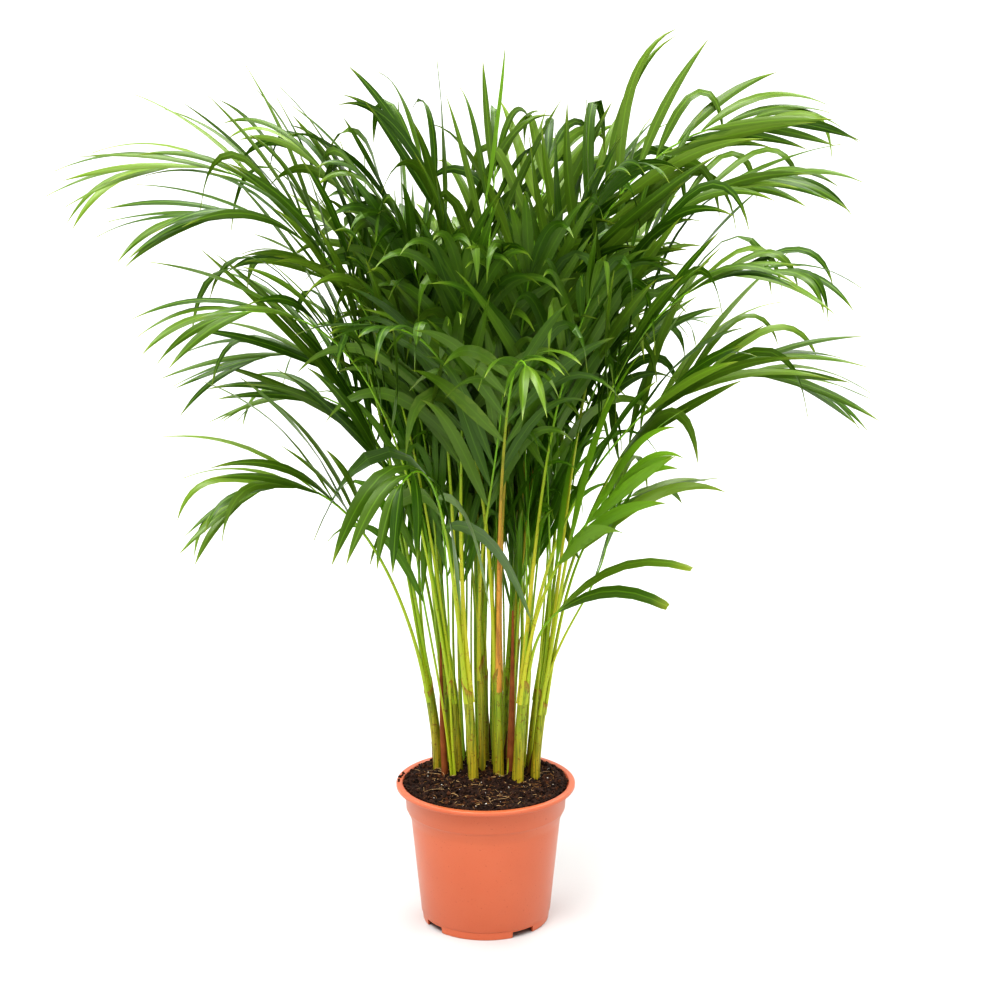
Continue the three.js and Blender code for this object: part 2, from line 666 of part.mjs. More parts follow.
// Chooses the bend of every leaflet of a frond, and leaves out one that can't be bent clear.
function growAll(grown, crowd, random) {
  const { frond, stations } = grown;
  stations.forEach((station, step) => {
    if (!station.root) return;
    const share = frond.pairs > 1 ? station.pair / (frond.pairs - 1) : 0.5;
    for (const [name, { hand, corners }] of Object.entries(ROOTS)) {
      const rootCorners = corners.map(([ahead, corner]) => stations[step + ahead].corners[corner]);
      const leaflet = clearLeaflet(grown, step, hand, rootCorners, share, crowd, random);
      if (leaflet) grown.leaflets.push({ step, name, ...leaflet });
    }
  });
  if (frond.pairs === 1) return;
  const last = stations.length - 1;
  const end = clearLeaflet(grown, last, 0, stations[last].corners, 1, crowd, random);
  if (end) grown.leaflets.push({ step: last, name: "end", ...end });
}

function clearLeaflet(grown, step, hand, rootCorners, share, crowd, random) {
  const { frond, number, stations } = grown;
  const first = leafletShape(frond, share, random);
  if (hand === 0) Object.assign(first, { angle: 0, lift: 0, length: frond.leaflet * LEAFLET.endShare });
  const root = rootCorners[0].clone().add(rootCorners[1]).multiplyScalar(0.5);
  const ignored = (owner) => {
    if (owner.frond !== number) return false;
    if (owner.midrib) return Math.abs(owner.step - step) <= 1;
    return owner.step === step && hand !== 0;
  };
  let shape = first;
  for (let attempt = 0; attempt < LEAFLET.tries; attempt += 1) {
    const wide = leafletSections(root, stations[step], hand, shape, LEAFLET.clearance);
    const points = rootCorners.map((corner) => corner.clone());
    const triangles = [[0, 2, 1]];
    growLeaflet(points, triangles, [0, 1, 2], wide.sections, wide.tip);
    const solid = solidOf(geometryOf(points, triangles));
    if (!crowd.touches(solid, ignored)) {
      crowd.add(solid, { frond: number, step });
      return leafletSections(root, stations[step], hand, shape, 0);
    }
    solid.delete();
    shape = bentAgain(first, attempt, random);
  }
  return null;
}

// One frond as one closed skin: the midrib's faces, with each leaflet growing out of a face.
function frondGeometry({ stations, leaflets }) {
  const points = [];
  const triangles = [];
  const ring = stations.map((station) => station.corners.map((corner) => points.push(corner) - 1));
  const taken = new Map(leaflets.map((leaflet) => [`${leaflet.step} ${leaflet.name}`, leaflet]));
  for (let i = 0; i + 1 < ring.length; i += 1) {
    const [right, left, ridge] = ring[i];
    const [nextRight, nextLeft, nextRidge] = ring[i + 1];
    triangles.push([right, left, nextLeft], [right, nextLeft, nextRight]);
    triangles.push([ridge, nextRight, nextRidge], [nextLeft, ridge, nextRidge]);
    for (const [name, { corners }] of Object.entries(ROOTS)) {
      const face = corners.map(([ahead, corner]) => ring[i + ahead][corner]);
      const leaflet = taken.get(`${i} ${name}`);
      if (leaflet) growLeaflet(points, triangles, face, leaflet.sections, leaflet.tip);
      else triangles.push(face);
    }
  }
  triangles.push([...ring[0]].reverse());
  const last = ring.length - 1;
  const end = taken.get(`${last} end`);
  if (end) growLeaflet(points, triangles, ring[last], end.sections, end.tip);
  else triangles.push(ring[last]);
  return geometryOf(points, triangles);
}

// ---------------------------------------------------------------- assembly

const twoDigits = (number) => String(number).padStart(2, "0");

const palm = new THREE.Group();
palm.add(namedMesh("pot", potGeometry(), COLOURS.pot));
palm.add(namedMesh("soil", soilGeometry(), COLOURS.soil));
CANES.forEach((cane, i) => {
  palm.add(namedMesh(`cane_${twoDigits(i + 1)}`, caneGeometry(cane, 0, CANE_RINGS, 1), COLOURS.cane));
});
DRY_SHEATHS.forEach((sheath, i) => {
  palm.add(namedMesh(`dry_sheath_${i + 1}`, drySheathGeometry(sheath, 0, 1), COLOURS.drySheath));
});
frondGeometries().forEach((geometry, i) => {
  const colour = FRONDS[i].young ? COLOURS.young : COLOURS.frond;
  palm.add(namedMesh(`frond_${twoDigits(i + 1)}`, geometry, colour));
});

export default palm;
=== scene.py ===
"""Dresses the potted palm: a clump of slender canes in a terracotta nursery pot, with feather fronds.

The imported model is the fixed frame. Each of its nodes is replaced by a finer piece of the same form.
Places and sizes below are millimetres in the frame's own axes, and meshes are made in metres.
"""

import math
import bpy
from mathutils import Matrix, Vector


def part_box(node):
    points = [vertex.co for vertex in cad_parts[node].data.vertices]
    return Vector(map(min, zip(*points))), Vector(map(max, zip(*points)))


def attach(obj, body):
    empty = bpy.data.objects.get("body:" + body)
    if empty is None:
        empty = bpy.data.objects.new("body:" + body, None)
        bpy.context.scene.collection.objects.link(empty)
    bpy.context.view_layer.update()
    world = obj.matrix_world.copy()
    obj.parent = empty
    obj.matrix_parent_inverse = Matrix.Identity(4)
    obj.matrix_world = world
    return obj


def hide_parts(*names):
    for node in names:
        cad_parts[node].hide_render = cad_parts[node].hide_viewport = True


bl_info = {
    "name": "Potted Palm",
    "version": (1, 0, 0),
    "blender": (4, 5, 0),
    "location": "3D View > Sidebar > Palm",
    "description": "Builds a potted feather palm, its pot and its soil around the packed model",
    "category": "Add Mesh",
}

from collections import namedtuple

import bpy
import numpy as np
from bpy.props import FloatProperty, FloatVectorProperty, IntProperty, PointerProperty
from mathutils import Vector, noise

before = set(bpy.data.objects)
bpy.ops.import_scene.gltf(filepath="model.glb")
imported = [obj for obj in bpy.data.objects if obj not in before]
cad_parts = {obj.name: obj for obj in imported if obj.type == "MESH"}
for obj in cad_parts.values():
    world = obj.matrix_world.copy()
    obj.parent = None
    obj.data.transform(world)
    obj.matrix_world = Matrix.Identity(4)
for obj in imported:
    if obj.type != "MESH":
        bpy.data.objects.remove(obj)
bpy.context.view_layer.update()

MM = 0.001
UP = np.array([0.0, 0.0, 1.0])

# ---------------------------------------------------------------- the plant's plan

# The canes are the frame's. The fronds stand where the frame's do, and some of them have other
# faces, pairs or lengths.

Cane = namedtuple("Cane", "foot foot_radius mouth mouth_radius")

CANES = (
    Cane((-55, 36), 6.2, (-67, 33, 268), 5.4),
    Cane((-41, 54), 3.8, (-52, 60, 292), 4.2),
    Cane((-31, 18), 4.4, (-40, 12, 272), 4.4),
    Cane((-14, -2), 5.8, (-21, -10, 280), 5.4),
    Cane((0, 36), 3.8, (-2, 36, 286), 4.2),
    Cane((15, 8), 6.0, (14, 2, 290), 5.4),
    Cane((37, -6), 6.6, (44, -14, 280), 5.6),
    Cane((29, 30), 4.4, (35, 34, 316), 4.4),
    Cane((57, 6), 5.2, (67, 2, 262), 5.0),
    Cane((52, 38), 4.8, (63, 48, 264), 4.8),
    Cane((-29, 74), 4.8, (-40, 86, 250), 4.8),
    Cane((-5, 66), 4.4, (-7, 78, 258), 4.4),
    Cane((22, 64), 5.0, (27, 78, 256), 5.2),
    Cane((-4, 16), 3.8, (-6, 14, 300), 4.2),
)

# A frond: the cane that carries it, the azimuth where it stands on that cane's mouth, the end of
# its midrib, the slope there, the roll of its face, its leaflet pairs, its longest
# leaflet, that leaflet's width, and how ripe its petiole is: 0 green, 0.5 yellow, 1 orange.
Frond = namedtuple("Frond", "cane stand end slope roll pairs leaflet width ripe")

FRONDS = (
    Frond(1, 20, (-352, -60, 878), -8, -34, 10, 230, 12, 0.1),
    Frond(3, 340, (-290, -120, 832), -2, -32, 10, 230, 13, 0.3),
    Frond(3, 235, (-255, -170, 735), -4, -34, 9, 225, 13, 0.2),
    Frond(1, 110, (-258, 50, 660), -18, -34, 9, 235, 12, 0.1),
    Frond(1, 220, (-262, -60, 520), -26, -30, 7, 195, 13, 0.2),
    Frond(4, 235, (-86, -168, 556), -24, -38, 4, 195, 21, 0.3),
    Frond(2, 150, (-232, 140, 605), -8, -34, 7, 200, 12, 0.1),
    Frond(2, 250, (-185, 0, 880), 40, -34, 9, 225, 15, 0.2),
    Frond(2, 30, (-80, 65, 895), 58, -34, 8, 235, 15, 0.3),
    Frond(5, 60, (12, 92, 880), 68, 50, 7, 235, 13, 0.4),
    Frond(8, 100, (72, 110, 878), 64, 20, 8, 230, 15, 0.5),
    Frond(4, 120, (-80, -85, 790), 62, 0, 11, 215, 16, 0.4),
    Frond(4, 0, (-22, -112, 755), 64, 0, 11, 215, 16, 0.5),
    Frond(6, 30, (48, -112, 770), 64, 0, 11, 215, 16, 0.9),
    Frond(7, 170, (112, -115, 745), 60, 0, 11, 215, 16, 0.6),
    Frond(6, 170, (-92, -215, 725), 8, 0, 8, 190, 16, 0.4),
    Frond(8, 280, (312, 10, 930), 2, 72, 12, 205, 14, 0.7),
    Frond(9, 120, (300, -60, 868), 6, 52, 12, 210, 13, 0.5),
    Frond(9, 250, (292, -135, 775), 4, 36, 11, 215, 13, 0.3),
    Frond(13, 295, (150, 90, 866), 50, 35, 11, 195, 15, 0.4),
    Frond(10, 330, (345, 42, 640), -18, 34, 11, 225, 14, 0.2),
    Frond(10, 80, (200, 178, 680), 14, 10, 9, 185, 13, 0.2),
    Frond(7, 80, (195, -90, 640), 42, 30, 2, 230, 22, 0.4),
    Frond(7, 245, (138, -98, 530), 46, 66, 4, 215, 18, 0.5),
    Frond(9, 10, (172, 80, 492), 14, 10, 2, 215, 17, 0.3),
    Frond(7, 335, (88, -50, 390), 34, 60, 1, 170, 18, 0.3),
    Frond(6, 290, (42, -266, 694), -6, 15, 7, 175, 16, 1.0),
    Frond(11, 250, (-152, 170, 780), 34, 0, 11, 225, 15, 0.2),
    Frond(11, 30, (-106, 185, 790), 42, 0, 10, 220, 15, 0.2),
    Frond(12, 210, (-38, 222, 775), 38, 0, 10, 220, 15, 0.3),
    Frond(13, 214, (30, 245, 750), 30, 0, 10, 220, 15, 0.2),
    Frond(13, 40, (96, 220, 775), 38, 0, 10, 220, 15, 0.3),
    Frond(10, 200, (152, 200, 765), 32, 0, 10, 220, 15, 0.2),
    Frond(11, 150, (-128, 222, 655), 18, 0, 10, 210, 15, 0.1),
    Frond(12, 95, (-72, 255, 680), 4, 0, 11, 210, 15, 0.2),
    Frond(13, 133, (76, 262, 655), 4, 0, 10, 195, 15, 0.2),
    Frond(14, 240, (20, -98, 645), 74, 0, 6, 200, 14, 0.5),
    Frond(14, 60, (2, 18, 850), 82, 0, 0, 290, 10, 0.3),
    Frond(5, 240, (-125, -50, 860), 46, -30, 10, 215, 15, 0.3),
    Frond(8, 200, (122, -75, 850), 46, 20, 10, 215, 15, 0.6),
    Frond(12, 330, (50, 170, 862), 48, 0, 8, 225, 15, 0.3),
    Frond(3, 125, (-188, -30, 765), 26, -26, 10, 205, 15, 0.2),
)

YOUNG = (24, 38)

# A dry sheath that stands among the canes: its foot, its tip and its width at the foot.
DrySheath = namedtuple("DrySheath", "foot tip width")
DRY_SHEATHS = (DrySheath((-47, 16), (-53, 22, 330), 7), DrySheath((28, 12), (31, 8, 372), 8))

SCALES = 16
CANE_FOOT = 129
CANE_STEM, FROND_STEM, SHOOT_STEM = (24, 30), (10, 26), (8, 18)
SOIL_FOOT = 158
GAP = 0.35

# What each group draws its chances from; a frond adds its number.
SOIL_SEED, CANE_SEED, DRY_SEED, SHOOT_SEED, FROND_SEED = 31, 7, 11, 91, 500

# ---------------------------------------------------------------- settings


def length(name, default, description):
    """A size in metres, given in millimetres."""
    return FloatProperty(name=name, description=description, default=default * MM, unit="LENGTH")


def share(name, default, description):
    """A plain number, such as a share of a length."""
    return FloatProperty(name=name, description=description, default=default)


def colour(name, code, description):
    """A colour that is given as sRGB hex and kept linear."""
    return FloatVectorProperty(
        name=name, description=description, default=linear(code)[:3], subtype="COLOR", min=0, max=1
    )


def linear(code):
    """An sRGB hex colour as the linear RGBA that a socket takes."""
    channels = [int(code[i : i + 2], 16) / 255 for i in (1, 3, 5)]
    curved = [c / 12.92 if c <= 0.04045 else ((c + 0.055) / 1.055) ** 2.4 for c in channels]
    return (*curved, 1.0)


POT_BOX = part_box("pot")


class PALM_PG_pot(bpy.types.PropertyGroup):
    """The nursery pot."""

    height: FloatProperty(
        name="Height", description="Floor to the top of the lip", default=POT_BOX[1].z, unit="LENGTH"
    )
    rim_radius: FloatProperty(
        name="Rim radius", description="Axis to the outside of the lip", default=POT_BOX[1].x, unit="LENGTH"
    )
    lip_height: length("Lip height", 5.5, "Height of the rolled lip")
    lip_width: length("Lip width", 8, "Width of the rolled lip, seen from above")
    collar_top: length("Collar top radius", 95, "Outer radius of the band right under the lip")
    collar_low: length("Collar foot radius", 93.4, "Outer radius of the band at its lower edge")
    collar_bottom: length("Collar bottom", 137, "Height of the band's lower edge")
    shoulder_top: length("Shoulder radius", 92.4, "Outer radius where the shoulder meets the band")
    shoulder_bottom: length("Shoulder bottom", 125, "Height where the shoulder meets the wall")
    wall_top: length("Wall top radius", 87.6, "Outer radius of the wall under the shoulder")
    foot_radius: length("Foot radius", 75.4, "Outer radius of the wall at the floor")
    foot_step: length("Foot step", 0.9, "How far the foot ring stands back from the wall")
    foot_height: length("Foot height", 10, "Height of the foot ring")
    wall: length("Wall", 2, "Thickness of the wall and the floor")
    floor: length("Floor height", 9, "Height of the pot's own floor")
    notch_height: length("Notch height", 7.5, "Height of the drainage notches")
    body: colour("Pot colour", "#C56A47", "Terracotta colour of the plastic")


class PALM_PG_soil(bpy.types.PropertyGroup):
    """The filling and what lies on it."""

    edge: length("Edge height", 165, "Height of the filling at the wall")
    crown: length("Crown height", 178, "Height of the filling at the foot of the clump")
    radius: length("Radius", 92.4, "Radius of the filling's surface")
    relief: length("Relief", 8, "Height of the lumps in the surface")
    crumbs: IntProperty(name="Crumbs", description="Number of loose lumps", default=2600)
    fibres: IntProperty(name="Fibres", description="Number of slivers of bark and coir", default=420)
    rootlets: IntProperty(name="Rootlets", description="Number of long dry rootlets", default=26)
    perlite: IntProperty(name="Perlite", description="Number of white grains", default=70)
    peat: colour("Peat colour", "#281810", "Colour of the damp peat")


class PALM_PG_canes(bpy.types.PropertyGroup):
    """The canes, which are rolled leaf sheaths."""

    wall: length("Sheath wall", 0.8, "Thickness of the outermost sheath at its mouth")
    tongue: length("Tongue", 17, "How far one side of the mouth stands over the other")
    lap: length("Lap", 0.45, "Step where one sheath's edge lies over the next")
    green: colour("Sheath green", "#92AA28", "Colour of the upper sheath")
    ochre: colour("Sheath ochre", "#BEAE32", "Colour of the sheath near the soil")


class PALM_PG_fronds(bpy.types.PropertyGroup):
    """The fronds: petiole, midrib and leaflets."""

    rise: share("Rise", 0.46, "Pull of the base on the midrib's curve, as a share of its chord")
    reach: share("Reach", 0.34, "Pull of the end on the midrib's curve, as a share of its chord")
    petiole: share("Petiole", 0.54, "Share of the midrib that bears no leaflets")
    young_petiole: share("Young petiole", 0.86, "The same for a two-bladed leaf")
    base_offset: share("Base offset", 0.62, "Place of a frond's foot on its cane's mouth")
    first_angle: share("First angle", 46, "Degrees between the midrib and its first leaflets")
    last_angle: share("Last angle", 19, "Degrees between the midrib and its last leaflets")
    first_lift: share("First lift", 26, "Degrees that the first leaflets rise over the frond's plane")
    last_lift: share("Last lift", 12, "Degrees that the last leaflets rise over the frond's plane")
    forward: share("Forward", 0.24, "How strongly a leaflet curves ahead along the midrib")
    droop: share("Droop", 0.42, "How strongly a leaflet falls towards its tip")
    leaf: colour("Leaf colour", "#325608", "Deep green of a grown leaflet")
    inner_leaf: colour("Inner leaf colour", "#4E7A16", "The body of a leaflet of an inner shoot")
    young_leaf: colour("Young leaf colour", "#8FB63C", "Light green of a young leaflet")


class PALM_PG_stage(bpy.types.PropertyGroup):
    """The floor, the lights and the camera."""

    floor_radius: length("Floor radius", 60000, "Radius of the pale floor")
    camera_height: length("Camera height", 942.6, "Height of the camera")
    camera_distance: length("Camera distance", 2100, "Distance of the camera from the pot's axis")
    camera_side: length("Camera side", 16.8, "Offset of the camera to the right")
    tilt: share("Tilt", 11.796, "Degrees that the camera looks down")
    lens: share("Lens", 67.85, "Focal length in millimetres on a 36 mm sensor")


# ---------------------------------------------------------------- node and mesh helpers


def new_material(name):
    """An empty node material and its tree."""
    material = bpy.data.materials.new(name)
    material.use_nodes = True
    material.node_tree.nodes.clear()
    return material, material.node_tree


def add_node(tree, kind, inputs=None, **settings):
    """Adds a node, sets its properties, and sets or links its inputs by name or number."""
    node = tree.nodes.new(kind)
    for name, value in settings.items():
        setattr(node, name, value)
    for name, value in (inputs or {}).items():
        socket = node.inputs[name]
        if isinstance(value, bpy.types.NodeSocket):
            tree.links.new(value, socket)
        else:
            socket.default_value = value
    return node


def deselect():
    """Nothing selected, so that an operator acts only on what is added next."""
    if bpy.context.object and bpy.context.object.mode != "OBJECT":
        bpy.ops.object.mode_set(mode="OBJECT")
    bpy.ops.object.select_all(action="DESELECT")


def activate(piece):
    """One piece selected and active."""
    deselect()
    piece.select_set(True)
    bpy.context.view_layer.objects.active = piece


def apply_modifier(piece, kind, **settings):
    """Adds a modifier with its settings and applies it."""
    activate(piece)
    modifier = piece.modifiers.new(kind.title(), kind)
    for name, value in settings.items():
        setattr(modifier, name, value)
    bpy.ops.object.modifier_apply(modifier=modifier.name)


def mesh_piece(name, points, faces, materials, numbers=None):
    """A mesh from points in millimetres, faces, and the material number of each face."""
    mesh = bpy.data.meshes.new(name)
    mesh.from_pydata((np.asarray(points) * MM).tolist(), [], faces)
    for material in materials:
        mesh.materials.append(material)
    if numbers is not None:
        mesh.polygons.foreach_set("material_index", np.asarray(numbers, np.int32))
    piece = bpy.data.objects.new(name, mesh)
    bpy.context.scene.collection.objects.link(piece)
    return piece


def smooth(piece, degrees):
    """Smooth shading, with edges sharper than the angle kept."""
    activate(piece)
    bpy.ops.object.shade_smooth_by_angle(angle=math.radians(degrees))


def dress(piece, slot, *nodes):
    """The piece rides with the pot and stands for its nodes; the slot is not used."""
    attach(piece, "root")
    if nodes:
        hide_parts(*nodes)


def template(piece):
    """A modelled shape as plain arrays, for copies that are bent to their places."""
    mesh = piece.data
    points = np.zeros(len(mesh.vertices) * 3)
    mesh.vertices.foreach_get("co", points)
    faces = [tuple(face.vertices) for face in mesh.polygons]
    bpy.data.objects.remove(piece)
    return points.reshape(-1, 3), faces


def unit(vectors):
    """Vectors, or one vector, at length 1."""
    return vectors / np.linalg.norm(vectors, axis=-1, keepdims=True)


def turned_about(vectors, axes, angles):
    """Vectors turned about unit axes that are square to them, by angles in radians."""
    turn = np.asarray(angles)[..., None]
    return vectors * np.cos(turn) + np.cross(axes, vectors) * np.sin(turn)


def bezier(corners, shares):
    """Points and unit tangents of a Bezier curve at shares from 0 to 1."""
    t = np.asarray(shares, float)[:, None]
    layers = [np.broadcast_to(np.asarray(corner, float), (len(t), 3)) for corner in corners]
    while len(layers) > 2:
        layers = [a * (1 - t) + b * t for a, b in zip(layers, layers[1:])]
    return layers[0] * (1 - t) + layers[1] * t, unit(layers[1] - layers[0])


class Line:
    """A Bezier curve that is measured along its length."""

    STEPS = 160

    def __init__(self, corners):
        self.corners = corners
        self.shares = np.linspace(0, 1, self.STEPS + 1)
        points, _ = bezier(corners, self.shares)
        steps = np.linalg.norm(np.diff(points, axis=0), axis=1)
        self.reach = np.concatenate([[0], np.cumsum(steps)])
        self.length = self.reach[-1]

    def at(self, shares):
        """Points and tangents at shares of the length."""
        return bezier(self.corners, np.interp(np.asarray(shares) * self.length, self.reach, self.shares))


# ---------------------------------------------------------------- finishes


def painted(tree, body, layers):
    """Colours laid over a body, each by its mask.

    A mask may be mapped first, by the low and high that it comes from and the two it goes to.
    """
    for mask, limits, over in layers:
        if limits:
            names = ("From Min", "From Max", "To Min", "To Max")
            ranged = add_node(tree, "ShaderNodeMapRange", {"Value": mask, **dict(zip(names, limits))})
            mask = ranged.outputs["Result"]
        over = linear(over) if isinstance(over, str) else over
        mixed = add_node(tree, "ShaderNodeMix", {0: mask, 6: body, 7: over}, data_type="RGBA")
        body = mixed.outputs[2]
    return body


def surfaced(tree, inputs, grain=None, strength=0.0, depth=0.0):
    """A material's end: relief from a grain, its depth in metres, then the surface and the output."""
    if grain is not None:
        rise = {"Height": grain.outputs["Fac"], "Strength": strength, "Distance": depth}
        inputs = {**inputs, "Normal": add_node(tree, "ShaderNodeBump", rise).outputs["Normal"]}
    shader = add_node(tree, "ShaderNodeBsdfPrincipled", inputs)
    add_node(tree, "ShaderNodeOutputMaterial", {"Surface": shader.outputs[0]})


def place_parts(tree, name):
    """A place that is kept with the points, whole and as its three parts."""
    place = add_node(tree, "ShaderNodeAttribute", attribute_name=name).outputs["Vector"]
    return place, *add_node(tree, "ShaderNodeSeparateXYZ", {"Vector": place}).outputs


def pot_plastic(settings):
    """Injection-moulded polypropylene: an even satin skin with faint flow shading and dust."""
    material, tree = new_material("moulded_polypropylene")
    spot = add_node(tree, "ShaderNodeTexCoord").outputs["Object"]
    # Moulding leaves broad, barely lighter clouds, about 60 mm across.
    clouds = add_node(tree, "ShaderNodeTexNoise", {"Vector": spot, "Scale": 16.0, "Detail": 3.0})
    # Dust of dry peat clings in specks of about 2 mm.
    specks = add_node(tree, "ShaderNodeTexNoise", {"Vector": spot, "Scale": 420.0, "Detail": 2.0})
    layers = (
        (clouds.outputs["Fac"], None, "#CC7350"),
        (specks.outputs["Fac"], (0.66, 0.74, 0, 0.3), "#9C4630"),
    )
    # The mould's fine matt grain, about 1 mm, is drawn coarser than the real 0.2 mm to show.
    grain = add_node(tree, "ShaderNodeTexNoise", {"Vector": spot, "Scale": 900.0, "Detail": 2.0})
    inputs = {"Value": clouds.outputs["Fac"], "To Min": 0.32, "To Max": 0.42}
    rough = add_node(tree, "ShaderNodeMapRange", inputs)
    surfaced(
        tree,
        {
            "Base Color": painted(tree, (*settings.body, 1.0), layers),
            "Roughness": rough.outputs["Result"],
            "IOR": 1.49,
            "Coat Weight": 0.3,
            "Coat Roughness": 0.25,
            "Subsurface Weight": 0.08,
            "Subsurface Scale": 0.004,
        },
        grain,
        0.06,
        0.0004,
    )
    return material


def peat(settings, name, light):
    """Damp peat mix: nearly black brown, with reddish lumps and no shine."""
    material, tree = new_material(name)
    spot = add_node(tree, "ShaderNodeTexCoord").outputs["Object"]
    # Lumps of 4 to 6 mm differ in how dry they are.
    lumps = add_node(tree, "ShaderNodeTexNoise", {"Vector": spot, "Scale": 210.0, "Detail": 6.0})
    grit = add_node(tree, "ShaderNodeTexNoise", {"Vector": spot, "Scale": 700.0, "Detail": 5.0})
    layers = ((lumps.outputs["Fac"], (0.42, 0.68, 0, 1), light),)
    body = painted(tree, (*settings.peat, 1.0), layers)
    surfaced(tree, {"Base Color": body, "Roughness": 0.92}, grit, 0.8, 0.0012)
    return material


def mottled(name, dark, light, roughness, scale):
    """A dull natural surface between two colours, such as bark fibre or perlite."""
    material, tree = new_material(name)
    spot = add_node(tree, "ShaderNodeTexCoord").outputs["Object"]
    patches = add_node(tree, "ShaderNodeTexNoise", {"Vector": spot, "Scale": scale, "Detail": 4.0})
    body = painted(tree, linear(dark), ((patches.outputs["Fac"], None, light),))
    surfaced(tree, {"Base Color": body, "Roughness": roughness}, patches, 0.4, 0.0004)
    return material


def sheath_skin(settings):
    """Living leaf sheath: smooth and waxy, green above and ochre at the foot, with brown specks."""
    material, tree = new_material("waxy_leaf_sheath")
    _, _, along, tone = place_parts(tree, "stem")
    spot = add_node(tree, "ShaderNodeTexCoord").outputs["Object"]
    # Fibres run up the sheath, about 1.5 mm apart.
    drawn = add_node(tree, "ShaderNodeMapping", {"Vector": spot, "Scale": (640.0, 640.0, 14.0)})
    inputs = {"Vector": drawn.outputs[0], "Scale": 1.0, "Detail": 2.0}
    fibres = add_node(tree, "ShaderNodeTexNoise", inputs)
    patches = add_node(tree, "ShaderNodeTexNoise", {"Vector": spot, "Scale": 30.0, "Detail": 3.0})
    inputs = {"Value": along, "From Min": 0.2, "From Max": 0.75, "To Min": 1.0, "To Max": 0.0}
    low = add_node(tree, "ShaderNodeMapRange", inputs)
    inputs = {0: patches.outputs["Fac"], 1: tone}
    spread = add_node(tree, "ShaderNodeMath", inputs, operation="MULTIPLY")
    inputs = {0: low.outputs["Result"], 1: spread.outputs[0]}
    ripe = add_node(tree, "ShaderNodeMath", inputs, operation="ADD", use_clamp=True)
    specks = add_node(tree, "ShaderNodeTexNoise", {"Vector": spot, "Scale": 330.0, "Detail": 3.0})
    layers = (
        (ripe.outputs[0], None, (*settings.ochre, 1.0)),
        (fibres.outputs["Fac"], (0.42, 0.7, 0, 0.8), "#4A6416"),
        # Corky specks of 1 to 3 mm.
        (specks.outputs["Fac"], (0.6, 0.68, 0, 0.7), "#7A4A1C"),
        # The mouth of a sheath dries to a papery orange margin.
        (along, (0.95, 1, 0, 0.6), "#A8632A"),
    )
    surfaced(
        tree,
        {
            "Base Color": painted(tree, (*settings.green, 1.0), layers),
            "Roughness": 0.42,
            "Subsurface Weight": 0.15,
            "Subsurface Scale": 0.003,
        },
        fibres,
        0.35,
        0.0003,
    )
    return material


def petiole_skin():
    """Petiole and midrib: smooth, yellow or orange near the cane and green among the leaflets."""
    material, tree = new_material("smooth_petiole")
    _, _, along, ripe = place_parts(tree, "stem")
    spot = add_node(tree, "ShaderNodeTexCoord").outputs["Object"]
    # A dying petiole dries in bands of brown and salmon, 20 to 40 mm long.
    bands = add_node(tree, "ShaderNodeMapping", {"Vector": spot, "Scale": (150.0, 150.0, 26.0)})
    inputs = {"Vector": bands.outputs[0], "Scale": 1.0, "Detail": 5.0}
    drying = add_node(tree, "ShaderNodeTexNoise", inputs).outputs["Fac"]
    dried = painted(tree, linear("#D98F4C"), ((drying, (0.44, 0.6, 0, 1), "#A8543A"),))
    specks = add_node(tree, "ShaderNodeTexNoise", {"Vector": spot, "Scale": 260.0, "Detail": 4.0})
    layers = (
        (ripe, (0, 0.5, 0, 1), "#BFC034"),
        (ripe, (0.55, 1, 0, 0.75), dried),
        (along, (0.3, 0.72, 0, 1), "#80AE2A"),
        # Brown freckles of a few millimetres.
        (specks.outputs["Fac"], (0.61, 0.7, 0, 0.55), "#8A5A24"),
    )
    body = painted(tree, linear("#90B62A"), layers)
    inputs = {"Base Color": body, "Roughness": 0.4}
    surfaced(tree, {**inputs, "Subsurface Weight": 0.1, "Subsurface Scale": 0.002})
    return material


